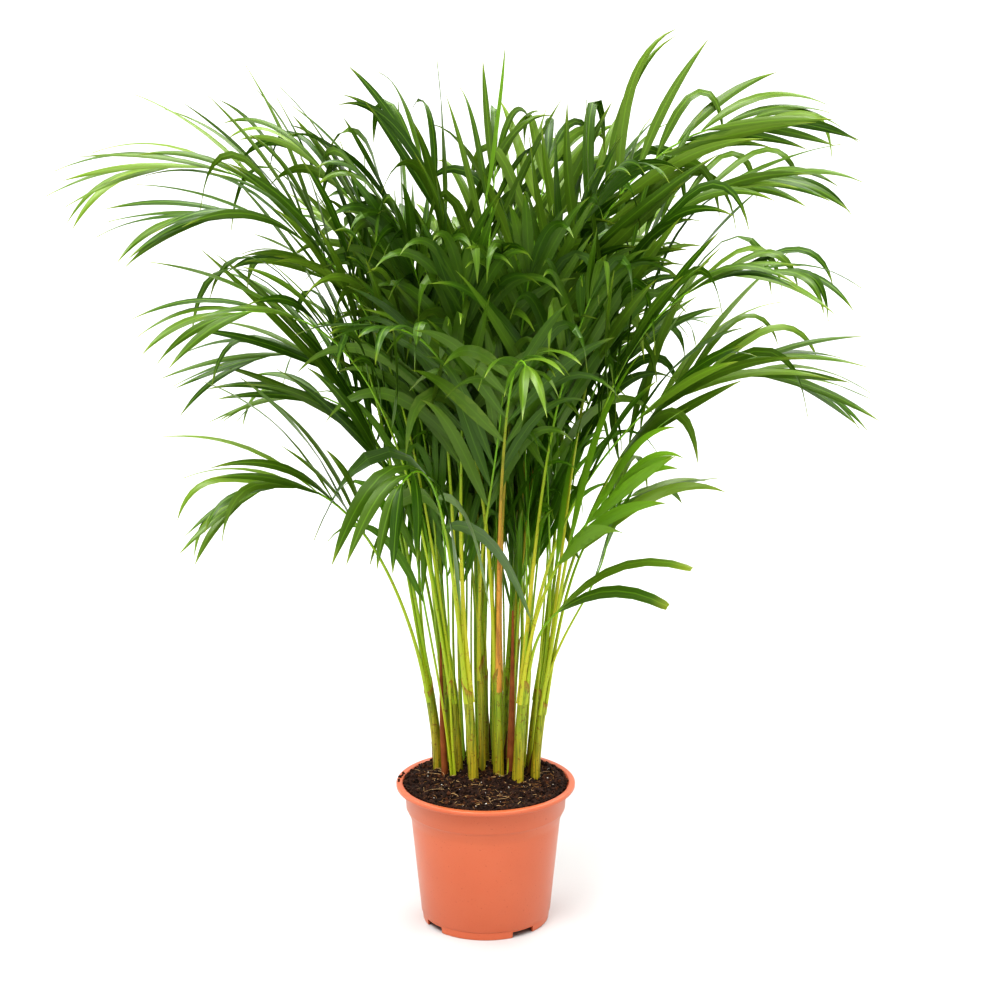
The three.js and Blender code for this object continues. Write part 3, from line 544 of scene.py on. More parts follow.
def leaf_skin(name, body_colour, fresh, glow, through):
    """Palm leaflet: waxy and finely veined along its length; light from behind makes it glow."""
    material, tree = new_material(name)
    place, across, along, tone = place_parts(tree, "blade")
    under = add_node(tree, "ShaderNodeAttribute", attribute_name="under").outputs["Fac"]
    # Parallel veins, drawn 2 mm apart where the real ones stand at 1 mm, so that they show.
    drawn = add_node(tree, "ShaderNodeMapping", {"Vector": place, "Scale": (0.9, 3.0, 40.0)})
    inputs = {"Vector": drawn.outputs[0], "Scale": 1.0, "Detail": 2.0}
    veins = add_node(tree, "ShaderNodeTexNoise", inputs)
    side = add_node(tree, "ShaderNodeMath", {0: across}, operation="ABSOLUTE")
    below = add_node(tree, "ShaderNodeMath", {0: under, 1: 0.4}, operation="MULTIPLY")
    layers = (
        (tone, None, fresh),
        (veins.outputs["Fac"], (0.35, 0.7, 0, 0.4), "#6E8C2C"),
        # The midrib of the leaflet is a pale line 1.2 mm wide.
        (side.outputs[0], (0.35, 0.8, 0.45, 0), "#8DB838"),
        (along, (0.86, 1, 0, 0.55), "#A9AE3C"),
        # The underside is paler and greyer.
        (below.outputs[0], None, "#557A22"),
    )
    body = painted(tree, body_colour, layers)
    rise = {"Height": veins.outputs["Fac"], "Strength": 0.35, "Distance": 0.0004}
    normal = add_node(tree, "ShaderNodeBump", rise).outputs["Normal"]
    inputs = {
        "Base Color": body,
        "Roughness": 0.3,
        "Specular IOR Level": 0.42,
        "Coat Weight": 0.16,
        "Coat Roughness": 0.4,
        "Normal": normal,
    }
    skin = add_node(tree, "ShaderNodeBsdfPrincipled", inputs)
    lit = painted(tree, linear(glow), ((0.25, None, body),))
    light = add_node(tree, "ShaderNodeBsdfTranslucent", {"Color": lit, "Normal": normal})
    inputs = {0: through, 1: skin.outputs[0], 2: light.outputs[0]}
    shader = add_node(tree, "ShaderNodeMixShader", inputs)
    add_node(tree, "ShaderNodeOutputMaterial", {"Surface": shader.outputs[0]})
    return material


# ---------------------------------------------------------------- templates that are copied


def start_face(sides):
    """A flat round face of radius 1, selected in edit mode."""
    deselect()
    bpy.ops.mesh.primitive_circle_add(vertices=sides, radius=1, fill_type="NGON")
    bpy.ops.object.mode_set(mode="EDIT")
    bpy.ops.mesh.select_all(action="SELECT")


def raise_face(height):
    """The selected face drawn out along +Z."""
    bpy.ops.mesh.extrude_region_move(TRANSFORM_OT_translate={"value": (0, 0, height)})


def close_mesh():
    """Every face of the mesh in edit mode turned outwards, and edit mode left."""
    bpy.ops.mesh.select_all(action="SELECT")
    bpy.ops.mesh.normals_make_consistent(inside=False)
    bpy.ops.object.mode_set(mode="OBJECT")


def stem_template(sides, rings, hollow=False):
    """A closed stem of radius 1 from height 0 to 1; a hollow one has a cup in its top."""
    start_face(sides)
    for _ in range(rings):
        raise_face(1 / rings)
    if hollow:
        bpy.ops.mesh.inset(thickness=0.14, depth=0)
        for _ in range(2):
            raise_face(-1 / rings)
    close_mesh()
    return template(bpy.context.object)


# Each stretch of a leaflet: its share of the length and its half width as a share of the widest.
LEAFLET_OUTLINE = (
    (0.0, 0.16),
    (0.04, 0.3),
    (0.12, 0.62),
    (0.23, 0.88),
    (0.35, 1.0),
    (0.48, 0.99),
    (0.58, 0.91),
    (0.66, 0.82),
    (0.73, 0.7),
    (0.8, 0.56),
    (0.87, 0.39),
    (0.93, 0.22),
    (1.0, 0.02),
)
BLUNT_OUTLINE = (
    (0.0, 0.14),
    (0.05, 0.32),
    (0.14, 0.62),
    (0.27, 0.86),
    (0.42, 1.0),
    (0.57, 1.0),
    (0.72, 0.93),
    (0.86, 0.84),
    (0.96, 0.72),
    (1.0, 0.5),
)


def leaflet_template(outline):
    """A leaflet as a thin closed blade with a fold along its middle, 2 wide and 1 long along +Z."""
    start_face(4)
    width = outline[0][1]
    bpy.ops.transform.resize(value=(width, 1, 1))
    for (low, narrow), (high, wide) in zip(outline, outline[1:]):
        raise_face(high - low)
        bpy.ops.transform.resize(value=(wide / narrow, 1, 1))
    close_mesh()
    return template(bpy.context.object)


def lump_template(subdivisions):
    """A round crumb of radius 1."""
    deselect()
    bpy.ops.mesh.primitive_ico_sphere_add(subdivisions=subdivisions, radius=1)
    return template(bpy.context.object)


class Bundle:
    """Points and faces of many bent copies, gathered into one mesh with its attributes."""

    def __init__(self):
        self.points = []
        self.faces = []
        self.numbers = []
        self.places = []
        self.under = []
        self.count = 0

    def add(self, points, faces, number=0, places=None, under=None):
        """One copy: its points in millimetres, and the template's faces."""
        start = self.count
        self.points.append(points)
        self.faces.extend(tuple(start + corner for corner in face) for face in faces)
        self.numbers.extend([number] * len(faces))
        self.places.append(np.zeros((len(points), 3)) if places is None else places)
        self.under.append(np.zeros(len(faces)) if under is None else under)
        self.count += len(points)

    def piece(self, name, materials, attribute=None):
        """The gathered mesh as a piece."""
        made = mesh_piece(name, np.concatenate(self.points), self.faces, materials, self.numbers)
        for label in attribute or ():
            layer = made.data.attributes.new(label, "FLOAT_VECTOR", "POINT")
            layer.data.foreach_set("vector", np.concatenate(self.places).astype(np.float32).ravel())
        layer = made.data.attributes.new("under", "FLOAT", "FACE")
        layer.data.foreach_set("value", np.concatenate(self.under).astype(np.float32))
        return made


# ---------------------------------------------------------------- pot


def arc(centre, radius, first, last, steps):
    """Points of a round stretch of a profile, from one angle to another in degrees."""
    angles = np.radians(np.linspace(first, last, steps))
    return [(centre[0] + radius * math.cos(a), centre[1] + radius * math.sin(a)) for a in angles]


def spun(name, profile, segments):
    """A profile of (radius, height) in metres, turned about the pot's axis into a closed skin."""
    mesh = bpy.data.meshes.new(name)
    edges = [(i, i + 1) for i in range(len(profile) - 1)]
    mesh.from_pydata([(radius, 0, height) for radius, height in profile], edges, [])
    piece = bpy.data.objects.new(name, mesh)
    bpy.context.scene.collection.objects.link(piece)
    activate(piece)
    bpy.ops.object.mode_set(mode="EDIT")
    bpy.ops.mesh.select_all(action="SELECT")
    bpy.ops.mesh.spin(steps=segments, angle=2 * math.pi, center=(0, 0, 0), axis=(0, 0, 1))
    bpy.ops.mesh.select_all(action="SELECT")
    bpy.ops.mesh.remove_doubles(threshold=1e-6)
    close_mesh()
    return piece


def wall_radius(pot, height):
    """The outer radius of the wall under the shoulder, at a height in metres."""
    return pot.foot_radius + (pot.wall_top - pot.foot_radius) * height / pot.shoulder_bottom


def pot_profile(pot):
    """The pot's section, from the middle of its underside round to the middle of its floor."""
    roll = 0.35 * pot.lip_height
    under_lip = pot.height - pot.lip_height
    lip_centre = (pot.rim_radius - roll, under_lip + roll)
    lip_top = (pot.rim_radius - roll, pot.height - roll)
    inner_lip = (pot.rim_radius - pot.lip_width + roll, pot.height - roll)
    foot = wall_radius(pot, pot.foot_height)
    inner_foot = pot.foot_radius - pot.foot_step - pot.wall
    soft = 0.6 * MM
    return [
        (0, pot.floor - pot.wall),
        (inner_foot - 3 * MM, pot.floor - pot.wall),
        (inner_foot, 0.4 * MM),
        (inner_foot + soft, 0),
        (pot.foot_radius - pot.foot_step - soft, 0),
        (pot.foot_radius - pot.foot_step, soft),
        (foot - pot.foot_step, pot.foot_height - 0.3 * MM),
        (foot - 0.2 * MM, pot.foot_height + 0.3 * MM),
        (foot + 0.1 * MM, pot.foot_height + pot.foot_step),
        (pot.wall_top - 0.2 * MM, pot.shoulder_bottom - 4 * MM),
        (pot.wall_top + 0.5 * MM, pot.shoulder_bottom + MM),
        (pot.shoulder_top - 0.9 * MM, pot.collar_bottom - 3.6 * MM),
        (pot.shoulder_top - 0.1 * MM, pot.collar_bottom - 0.8 * MM),
        (pot.collar_low - 0.3 * MM, pot.collar_bottom - 0.1 * MM),
        (pot.collar_low, pot.collar_bottom + 0.5 * MM),
        (pot.collar_top, under_lip - MM),
        (pot.collar_top + 0.8 * MM, under_lip),
        *arc(lip_centre, roll, -90, 0, 5),
        *arc(lip_top, roll, 0, 90, 6),
        *arc(inner_lip, roll, 90, 165, 5),
        (pot.collar_top - pot.wall, pot.height - 5 * MM),
        (pot.collar_low - pot.wall, pot.collar_bottom),
        (pot.wall_top - pot.wall, pot.shoulder_bottom),
        (wall_radius(pot, pot.floor) - pot.wall, pot.floor + 2 * MM),
        (wall_radius(pot, pot.floor) - pot.wall - 2 * MM, pot.floor),
        (0, pot.floor),
    ]


POT_SEGMENTS = 160
NOTCH_DEPTH = 24
NOTCH_AZIMUTHS = (-54, 36, 126, 216)
NOTCH_ARC = 22
DRAIN_AZIMUTHS = (-9, 81, 171, 261)
DRAIN_SIDES = 32
DRAIN_RADIUS = 7
DRAIN_DISTANCE = 48


def cut_away(piece, cutter):
    """Cuts one solid out of a piece."""
    apply_modifier(piece, "BOOLEAN", object=cutter, operation="DIFFERENCE", solver="EXACT")
    bpy.data.objects.remove(cutter)


class PALM_OT_pot(bpy.types.Operator):
    """Builds the nursery pot with its rolled lip, collar, foot notches and drainage holes"""

    bl_idname = "palm.pot"
    bl_label = "Pot"

    def execute(self, context):
        pot = context.scene.palm_pot
        piece = spun("nursery_pot", pot_profile(pot), POT_SEGMENTS)
        for azimuth in NOTCH_AZIMUTHS:
            turn = math.radians(azimuth)
            reach = pot.foot_radius
            chord = 2 * reach * math.sin(math.radians(NOTCH_ARC / 2))
            deselect()
            bpy.ops.mesh.primitive_cube_add(
                size=1,
                location=(reach * math.cos(turn), reach * math.sin(turn), 0),
                rotation=(0, 0, turn),
                scale=(NOTCH_DEPTH * MM, chord, 2 * pot.notch_height),
            )
            cut_away(piece, bpy.context.object)
        for azimuth in DRAIN_AZIMUTHS:
            turn = math.radians(azimuth)
            reach = DRAIN_DISTANCE * MM
            deselect()
            bpy.ops.mesh.primitive_cylinder_add(
                vertices=DRAIN_SIDES,
                radius=DRAIN_RADIUS * MM,
                depth=4 * pot.wall,
                location=(reach * math.cos(turn), reach * math.sin(turn), pot.floor),
            )
            cut_away(piece, bpy.context.object)
        piece.data.materials.clear()
        piece.data.materials.append(pot_plastic(pot))
        piece.data.polygons.foreach_set("material_index", [0] * len(piece.data.polygons))
        smooth(piece, 38)
        dress(piece, "pot_plastic", "pot")
        return {"FINISHED"}


# ---------------------------------------------------------------- soil

CROWN = (2, 42)
CROWN_SPREAD = 60
SOIL_RINGS, SOIL_SEGMENTS = 72, 200
# How far from the axis the crumbs lie, the slivers and white grains, and the rootlets.
CRUMB_REACH, SLIVER_REACH, ROOTLET_REACH = 89, 86, 66


def soil_height(soil, x, y):
    """The filling's height at a place in millimetres, with its lumps, in millimetres."""
    edge = soil.edge / MM
    distance = math.hypot(x - CROWN[0], y - CROWN[1]) / CROWN_SPREAD
    swell = (soil.crown - soil.edge) / MM * math.exp(-distance * distance)
    lumps = noise.fractal(Vector((x, y, 0)) * 0.075, 0.7, 2.2, 4)
    grains = abs(noise.noise(Vector((x, y, 9)) * 0.33))
    return edge + swell + soil.relief / MM * (0.42 * lumps + 0.3 * grains)


def soil_bed(soil, pot):
    """The filling as one closed solid, from the pot's floor to its lumpy surface."""
    inset = pot.wall + 0.7 * MM
    rings = [(soil.radius * (1 - i / SOIL_RINGS), soil.edge) for i in range(SOIL_RINGS + 1)]
    profile = [
        (0, pot.floor + 0.4 * MM),
        (wall_radius(pot, pot.floor) - inset, pot.floor + 0.4 * MM),
        (pot.wall_top - inset, pot.shoulder_bottom),
        (pot.collar_low - inset, pot.collar_bottom),
        *rings,
    ]
    piece = spun("soil_bed", profile, SOIL_SEGMENTS)
    for corner in piece.data.vertices:
        if corner.co.z > soil.edge - 0.1 * MM:
            spot = corner.co / MM
            corner.co.z = soil_height(soil, spot.x, spot.y) * MM
    return piece


def scattered(soil, random, count, reach):
    """Places on the surface, evenly spread out to a radius in millimetres."""
    for _ in range(count):
        radius = reach * math.sqrt(random.random())
        turn = 2 * math.pi * random.random()
        x = radius * math.cos(turn)
        y = radius * math.sin(turn)
        yield np.array([x, y, soil_height(soil, x, y)])


def random_turn(random):
    """A rotation matrix drawn evenly."""
    q = unit(random.normal(size=4))
    a, b, c, d = q
    return np.array(
        [
            [1 - 2 * (c * c + d * d), 2 * (b * c - a * d), 2 * (b * d + a * c)],
            [2 * (b * c + a * d), 1 - 2 * (b * b + d * d), 2 * (c * d - a * b)],
            [2 * (b * d - a * c), 2 * (c * d + a * b), 1 - 2 * (b * b + c * c)],
        ]
    )


def lump(random, shape, size, spot, stretch):
    """One crumb: the round shape pulled out of round, turned and set on its spot."""
    points = shape * (1 + 0.22 * random.normal(size=(len(shape), 1)))
    points = points * size * random.uniform(1 - stretch, 1 + stretch, 3)
    return points @ random_turn(random).T + spot


# Crumbs heaped against the inside of the lip, and those that lie on it at the left and by the
# back, as azimuths in degrees.
LIP_PILE = 1500
PILE_BAND, PILE_FOOT, PILE_SLOPE = (89, 95.5), 163.5, 0.65
LIP_BAND, LIP_TOP = (98.5, 103), 168.5
LIP_CRUMBS = (168, 171, 174, 176, 179, 183, 120, 64, 128)
FINE_SHARE, BARK_SHARE = 0.88, 0.16


def soil_crumbs(soil, random, materials):
    """Loose lumps of peat, with bark crumbs among them, and a few on the lip."""
    bundle = Bundle()
    small, small_faces = lump_template(1)
    large, large_faces = lump_template(2)
    for spot in scattered(soil, random, soil.crumbs, CRUMB_REACH):
        fine = random.random() < FINE_SHARE
        size = random.uniform(0.6, 1.7) if fine else random.uniform(1.7, 2.8)
        shape, faces = (small, small_faces) if fine else (large, large_faces)
        spot[2] += 0.35 * size
        number = 1 if random.random() < BARK_SHARE else 0
        bundle.add(lump(random, shape, size, spot, 0.35), faces, number)
    for _ in range(LIP_PILE):
        turn = random.uniform(0, 2 * math.pi)
        reach = random.uniform(*PILE_BAND)
        rise = PILE_FOOT + PILE_SLOPE * (reach - PILE_BAND[0]) + random.uniform(-1, 1)
        spot = np.array([reach * math.cos(turn), reach * math.sin(turn), rise])
        bundle.add(lump(random, small, random.uniform(0.8, 2.0), spot, 0.35), small_faces)
    for azimuth in LIP_CRUMBS:
        turn = math.radians(azimuth + random.uniform(-1, 1))
        reach = random.uniform(*LIP_BAND)
        spot = np.array([reach * math.cos(turn), reach * math.sin(turn), LIP_TOP])
        bundle.add(lump(random, large, random.uniform(0.9, 1.7), spot, 0.3), large_faces)
    return bundle.piece("soil_crumbs", materials)


def strand(random, stem, spot, reach, radius, lift, curl):
    """A thin bent strand that lies on its spot."""
    turn = 2 * math.pi * random.random()
    ahead = np.array([math.cos(turn), math.sin(turn), 0.0])
    aside = np.cross(UP, ahead)
    bends = [random.uniform(-curl, curl) * reach for _ in range(2)]
    rises = [random.uniform(0, lift) * reach for _ in range(3)]
    corners = [
        spot + UP * rises[0],
        spot + ahead * reach * 0.35 + aside * bends[0] + UP * rises[1],
        spot + ahead * reach * 0.7 + aside * bends[1] + UP * rises[2],
        spot + ahead * reach,
    ]
    line = Line(corners)
    points, tangents = line.at(stem[:, 2])
    side = unit(np.cross(tangents, UP))
    over = np.cross(side, tangents)
    thin = radius * (1 - 0.6 * stem[:, 2:3])
    return points + side * stem[:, 0:1] * thin - over * stem[:, 1:2] * thin


def soil_strands(soil, random, materials):
    """Short slivers of bark and coir, and long pale rootlets."""
    bundle = Bundle()
    short, short_faces = stem_template(4, 3)
    long, long_faces = stem_template(5, 12)
    for spot in scattered(soil, random, soil.fibres, SLIVER_REACH):
        spot[2] += 1.0
        size = random.uniform(3, 9)
        bundle.add(
            strand(random, short, spot, size, random.uniform(0.25, 0.6), 0.18, 0.25),
            short_faces,
            1 if random.random() < 0.25 else 0,
        )
    for spot in scattered(soil, random, soil.rootlets, ROOTLET_REACH):
        spot[2] += 1.6
        size = random.uniform(14, 34)
        bundle.add(
            strand(random, long, spot, size, random.uniform(0.25, 0.4), 0.1, 0.4),
            long_faces,
            1,
        )
    return bundle.piece("soil_strands", materials)


def soil_perlite(soil, random, materials):
    """White grains of expanded glass."""
    bundle = Bundle()
    shape, faces = lump_template(1)
    for spot in scattered(soil, random, soil.perlite, SLIVER_REACH):
        spot[2] += 0.9
        bundle.add(lump(random, shape, random.uniform(0.5, 1.1), spot, 0.25), faces)
    return bundle.piece("soil_perlite", materials)


class PALM_OT_soil(bpy.types.Operator):
    """Builds the peat filling with its crumbs, strands and white grains"""

    bl_idname = "palm.soil"
    bl_label = "Soil"

    def execute(self, context):
        soil = context.scene.palm_soil
        random = np.random.default_rng(SOIL_SEED)
        damp = peat(soil, "damp_peat", "#4C3022")
        bark = mottled("composted_bark", "#3C2415", "#6E4326", 0.9, 300.0)
        coir = mottled("coir_fibre", "#5E3E22", "#A87F4C", 0.85, 400.0)
        rootlet = mottled("dry_rootlet", "#B98F5A", "#E0C79A", 0.8, 250.0)
        grain = mottled("perlite", "#CFCBC2", "#F2F0EA", 0.9, 500.0)
        bed = soil_bed(soil, context.scene.palm_pot)
        bed.data.materials.append(damp)
        smooth(bed, 180)
        dress(bed, "potting_soil", "soil")
        crumbs = soil_crumbs(soil, random, [damp, bark])
        smooth(crumbs, 50)
        strands = soil_strands(soil, random, [coir, rootlet])
        smooth(strands, 60)
        grains = soil_perlite(soil, random, [grain])
        smooth(grains, 30)
        for piece in (crumbs, strands, grains):
            dress(piece, "potting_soil")
        return {"FINISHED"}


# ---------------------------------------------------------------- canes


def cane_line(cane):
    """The centre line of a cane, from its foot in the soil to the mouth of its sheath."""
    x, y = cane.foot
    mouth = cane.mouth
    return Line([(x, y, CANE_FOOT), (x, y, (CANE_FOOT + mouth[2]) / 2), mouth])


class PALM_OT_canes(bpy.types.Operator):
    """Builds the canes as rolled sheaths with lapped edges and slanting mouths"""

    bl_idname = "palm.canes"
    bl_label = "Canes"

    def execute(self, context):
        settings = context.scene.palm_canes
        random = np.random.default_rng(CANE_SEED)
        skin = sheath_skin(settings)
        stem, faces = stem_template(*CANE_STEM, hollow=True)
        for number, cane in enumerate(CANES, 1):
            points, places = bent_cane(cane, stem, settings, random)
            bundle = Bundle()
            bundle.add(points, faces, 0, places)
            piece = bundle.piece(f"sheathed_cane_{number:02d}", [skin], ["stem"])
            smooth(piece, 50)
            dress(piece, "cane_sheath", f"cane_{number:02d}")
        return {"FINISHED"}


LAP_FADE = 0.9
SCAR_SPACING = 11


def bent_cane(cane, stem, settings, random):
    """A cane's points, and for each its place round, along and its tone."""
    line = cane_line(cane)
    up = stem[:, 2]
    azimuth = np.arctan2(stem[:, 1], stem[:, 0])
    centres, tangents = line.at(np.clip(up, 0, 1))
    radius = cane.foot_radius + (cane.mouth_radius - cane.foot_radius) * up
    # Two sheath edges wind slowly up the cane; the skin steps out along each.
    turn = random.uniform(0, 2 * math.pi)
    laps = np.zeros(len(stem))
    for start, winding in ((turn, 2.2), (turn + 2.4, -1.7)):
        behind = np.mod(azimuth - start - winding * up, 2 * math.pi)
        laps += settings.lap / MM * np.exp(-behind / LAP_FADE)
    # The foot swells a little, and faint rings mark old leaf scars near the soil.
    swell = 0.9 * np.exp(-(((up - 0.2) / 0.16) ** 2))
    scars = 0.25 * np.cos(2 * math.pi * up * line.length / SCAR_SPACING) * np.clip(1 - up / 0.45, 0, 1)
    flare = 0.7 * np.clip((up - 0.86) / 0.14, 0, 1) ** 2
    wide = radius * np.hypot(stem[:, 0], stem[:, 1]) + laps + swell + scars + flare
    side = unit(np.cross(tangents, np.array([0.0, 1.0, 0.0])))
    deep = np.cross(tangents, side)
    points = centres + side * (wide * np.cos(azimuth))[:, None] + deep * (wide * np.sin(azimuth))[:, None]
    # The mouth is cut aslant: its tongue stands over the rest.
    tongue = settings.tongue / MM * (0.5 + 0.5 * np.cos(azimuth - turn)) ** 2
    points += tangents * (tongue * np.clip((up - 0.8) / 0.2, 0, 1) ** 2)[:, None]
    tone = random.uniform(0.1, 1.0)
    return points, np.stack([azimuth, up, np.full(len(up), tone)], axis=1)


# ---------------------------------------------------------------- dry sheaths


class PALM_OT_dry_sheaths(bpy.types.Operator):
    """Builds the dead brown sheath strips that stand among the canes"""

    bl_idname = "palm.dry_sheaths"
    bl_label = "Dry sheaths"

    def execute(self, context):
        random = np.random.default_rng(DRY_SEED)
        skin = mottled("dead_leaf_sheath", "#6A3416", "#B4703A", 0.75, 90.0)
        for number, sheath in enumerate(DRY_SHEATHS, 1):
            piece = dry_strip(number, sheath, random)
            piece.data.materials.append(skin)
            smooth(piece, 60)
            dress(piece, "dry_sheath", f"dry_sheath_{number}")
        husk = mottled("rotted_leaf_sheath", "#38220F", "#8A6230", 0.85, 120.0)
        for number in range(SCALES):
            cane = CANES[number % len(CANES)]
            foot = np.array(cane.foot) + (random.uniform(-8, 8), random.uniform(4, 10))
            lean = (np.array(cane.mouth[:2]) - cane.foot) * random.uniform(0.3, 0.9)
            tip = (*(foot + lean), random.uniform(190, 270))
            sheath = DrySheath(foot, tip, random.uniform(3.5, 6.5))
            piece = dry_strip(number + len(DRY_SHEATHS) + 1, sheath, random)
            piece.data.materials.append(husk)
            smooth(piece, 60)
            dress(piece, "dry_sheath")
        return {"FINISHED"}


STRIP_FOOT = 150.0
STRIP_THICKNESS = 0.6


def dry_strip(number, sheath, random):
    """A curled strip: a grid bent round its length and thickened."""
    deselect()
    bpy.ops.mesh.primitive_grid_add(x_subdivisions=8, y_subdivisions=40, size=2)
    piece = bpy.context.object
    piece.name = piece.data.name = f"dry_strip_{number}"
    foot = np.array([*sheath.foot, STRIP_FOOT])
    tip = np.array(sheath.tip, float)
    wander = random.uniform(-2.5, 2.5, 2)
    for corner in piece.data.vertices:
        across = corner.co.x
        up = (corner.co.y + 1) / 2
        taper = 1 - 0.72 * up**1.5
        curl = 1.1 * across + 0.8 * up
        radius = sheath.width * 0.62 * taper
        centre = foot + (tip - foot) * up
        centre[:2] += wander * math.sin(math.pi * up)
        ragged = 0.5 * noise.noise(Vector((across * 2, up * 14, number)))
        spot = centre + np.array([radius * math.sin(curl), -radius * math.cos(curl) + ragged, 0])
        corner.co = Vector(spot) * MM
    apply_modifier(piece, "SOLIDIFY", thickness=STRIP_THICKNESS * MM, offset=0)
    return piece


# ---------------------------------------------------------------- fronds


def midrib_line(frond, settings, foot=None):
    """The midrib of a frond as a measured curve from the mouth of its sheath, or from a foot in the soil."""
    if foot is None:
        cane = CANES[frond.cane - 1]
        _, tangents = cane_line(cane).at([1.0])
        axis = tangents[0]
        turn = math.radians(frond.stand)
        outward = np.array([math.cos(turn), math.sin(turn), 0.0])
        outward = unit(outward - axis * outward.dot(axis))
        start = np.array(cane.mouth) + axis * GAP + outward * settings.base_offset * cane.mouth_radius
    else:
        start = np.array(foot, float)
        axis = unit(start * (0.0022, 0.0022, 0) + UP)
    end = np.array(frond.end, float)
    chord = np.linalg.norm(end - start)
    level = unit((end - start) * (1, 1, 0))
    slope = math.radians(frond.slope)
    aim = level * math.cos(slope) + UP * math.sin(slope)
    return Line([start, start + axis * settings.rise * chord, end - aim * settings.reach * chord, end])


def midrib_frames(frond, line, shares):
    """Points, tangents, sides and normals of the midrib at shares of its length."""
    points, tangents = line.at(shares)
    chord = unit((line.corners[-1] - line.corners[0]) * (1, 1, 0))
    side = np.cross(chord, UP)
    side = unit(side - tangents * (tangents @ side)[:, None])
    roll = math.radians(frond.roll) * np.minimum(1, 2 * np.asarray(shares))
    side = turned_about(side, tangents, roll)
    return points, tangents, side, np.cross(side, tangents)


# A petiole is widest in its foot, and from the taper's start its midrib narrows to its tip.
FOOT_SHARE, TAPER_START = 0.16, 0.12
TIP_HALF_WIDTH, TIP_HALF_HEIGHT = 0.9, 0.8
FULL_BLADE = 13


def midrib_widths(frond, shares):
    """Half widths and half heights of the petiole and midrib at shares of the length."""
    mouth = CANES[frond.cane - 1].mouth_radius * min(1, frond.width / FULL_BLADE)
    base = np.clip(1 - shares / FOOT_SHARE, 0, 1) ** 1.5
    taper = np.clip((shares - TAPER_START) / (1 - TAPER_START), 0, 1)
    half_width = (0.46 + 0.28 * base) * mouth * (1 - taper) + TIP_HALF_WIDTH * taper
    half_height = (0.44 + 0.1 * base) * mouth * (1 - taper) + TIP_HALF_HEIGHT * taper
    return half_width, half_height


ROOT_DEPTH = 14


def add_midrib(bundle, frond, line, stem, faces):
    """The petiole and midrib, with the petiole's foot down inside its cane."""
    shares = stem[:, 2]
    points, tangents, side, normal = midrib_frames(frond, line, shares)
    half_width, half_height = midrib_widths(frond, shares)
    # The petiole has a shallow channel along its upper face.
    over = np.where(stem[:, 1] < 0, -stem[:, 1], 0) * (1 - 0.35 * np.exp(-((stem[:, 0] / 0.5) ** 2)))
    below = np.where(stem[:, 1] > 0, -stem[:, 1], 0)
    points = points + side * (stem[:, 0] * half_width)[:, None]
    points += normal * ((over + below) * half_height)[:, None]
    points -= tangents * (ROOT_DEPTH * (shares == 0))[:, None]
    places = np.stack([stem[:, 0], shares, np.full(len(shares), frond.ripe)], axis=1)
    bundle.add(points, faces, 1, places)


LEAFLET_STEPS = 24
CLOSING_SLOPE = 72
HANGING_SLOPE, HANGING_WIDTH = -10, 18
STIFF_SLOPE, STIFF_WIDTH = 40, 17
SHOOTS_ON_EACH = 2
SUCKERS = 34
SHOOT_BARE = 0.66
LEAN = 0.5
FOLD = 0.3
BLADE = 0.7
FOLDED_SHARE = 0.17
ANGLE_SCATTER, LIFT_SCATTER, LENGTH_SCATTER, WIDTH_SCATTER = 8, 15, 0.13, 0.1


def blade_points(blade, root, aim, ahead, normal, size, droop, twist, fold):
    """A leaflet's points: the straight template laid along a drooping line.

    size is its length and its greatest half width; ahead is the way it curves. The fold opens
    towards the middle of the blade, and the blade twists about its own line towards its tip.
    """
    reach, half = size
    t = np.linspace(0, 1, LEAFLET_STEPS)
    fall, late = droop
    heading = unit(aim + ahead * t[:, None] - UP * (fall * t**late)[:, None])
    steps = (heading[1:] + heading[:-1]) / 2 * reach / (LEAFLET_STEPS - 1)
    line = root + np.concatenate([np.zeros((1, 3)), np.cumsum(steps, axis=0)])
    up = unit(normal - heading * (heading @ normal)[:, None])
    up = turned_about(up, heading, twist * t**1.3)
    along = blade[:, 2]
    centre = np.stack([np.interp(along, t, line[:, k]) for k in range(3)], axis=1)
    forth = unit(np.stack([np.interp(along, t, heading[:, k]) for k in range(3)], axis=1))
    over = unit(np.stack([np.interp(along, t, up[:, k]) for k in range(3)], axis=1))
    across = np.cross(forth, over)
    bend = fold * (0.45 + 0.55 * (2 * along - 1) ** 2)
    drop = np.abs(blade[:, 0]) * half * np.sin(bend)
    rise = np.where(np.abs(blade[:, 1]) > 0.5, -blade[:, 1] * BLADE / 2, 0) - drop
    points = centre + across * (blade[:, 0] * half * np.cos(bend))[:, None]
    return points + over * rise[:, None]


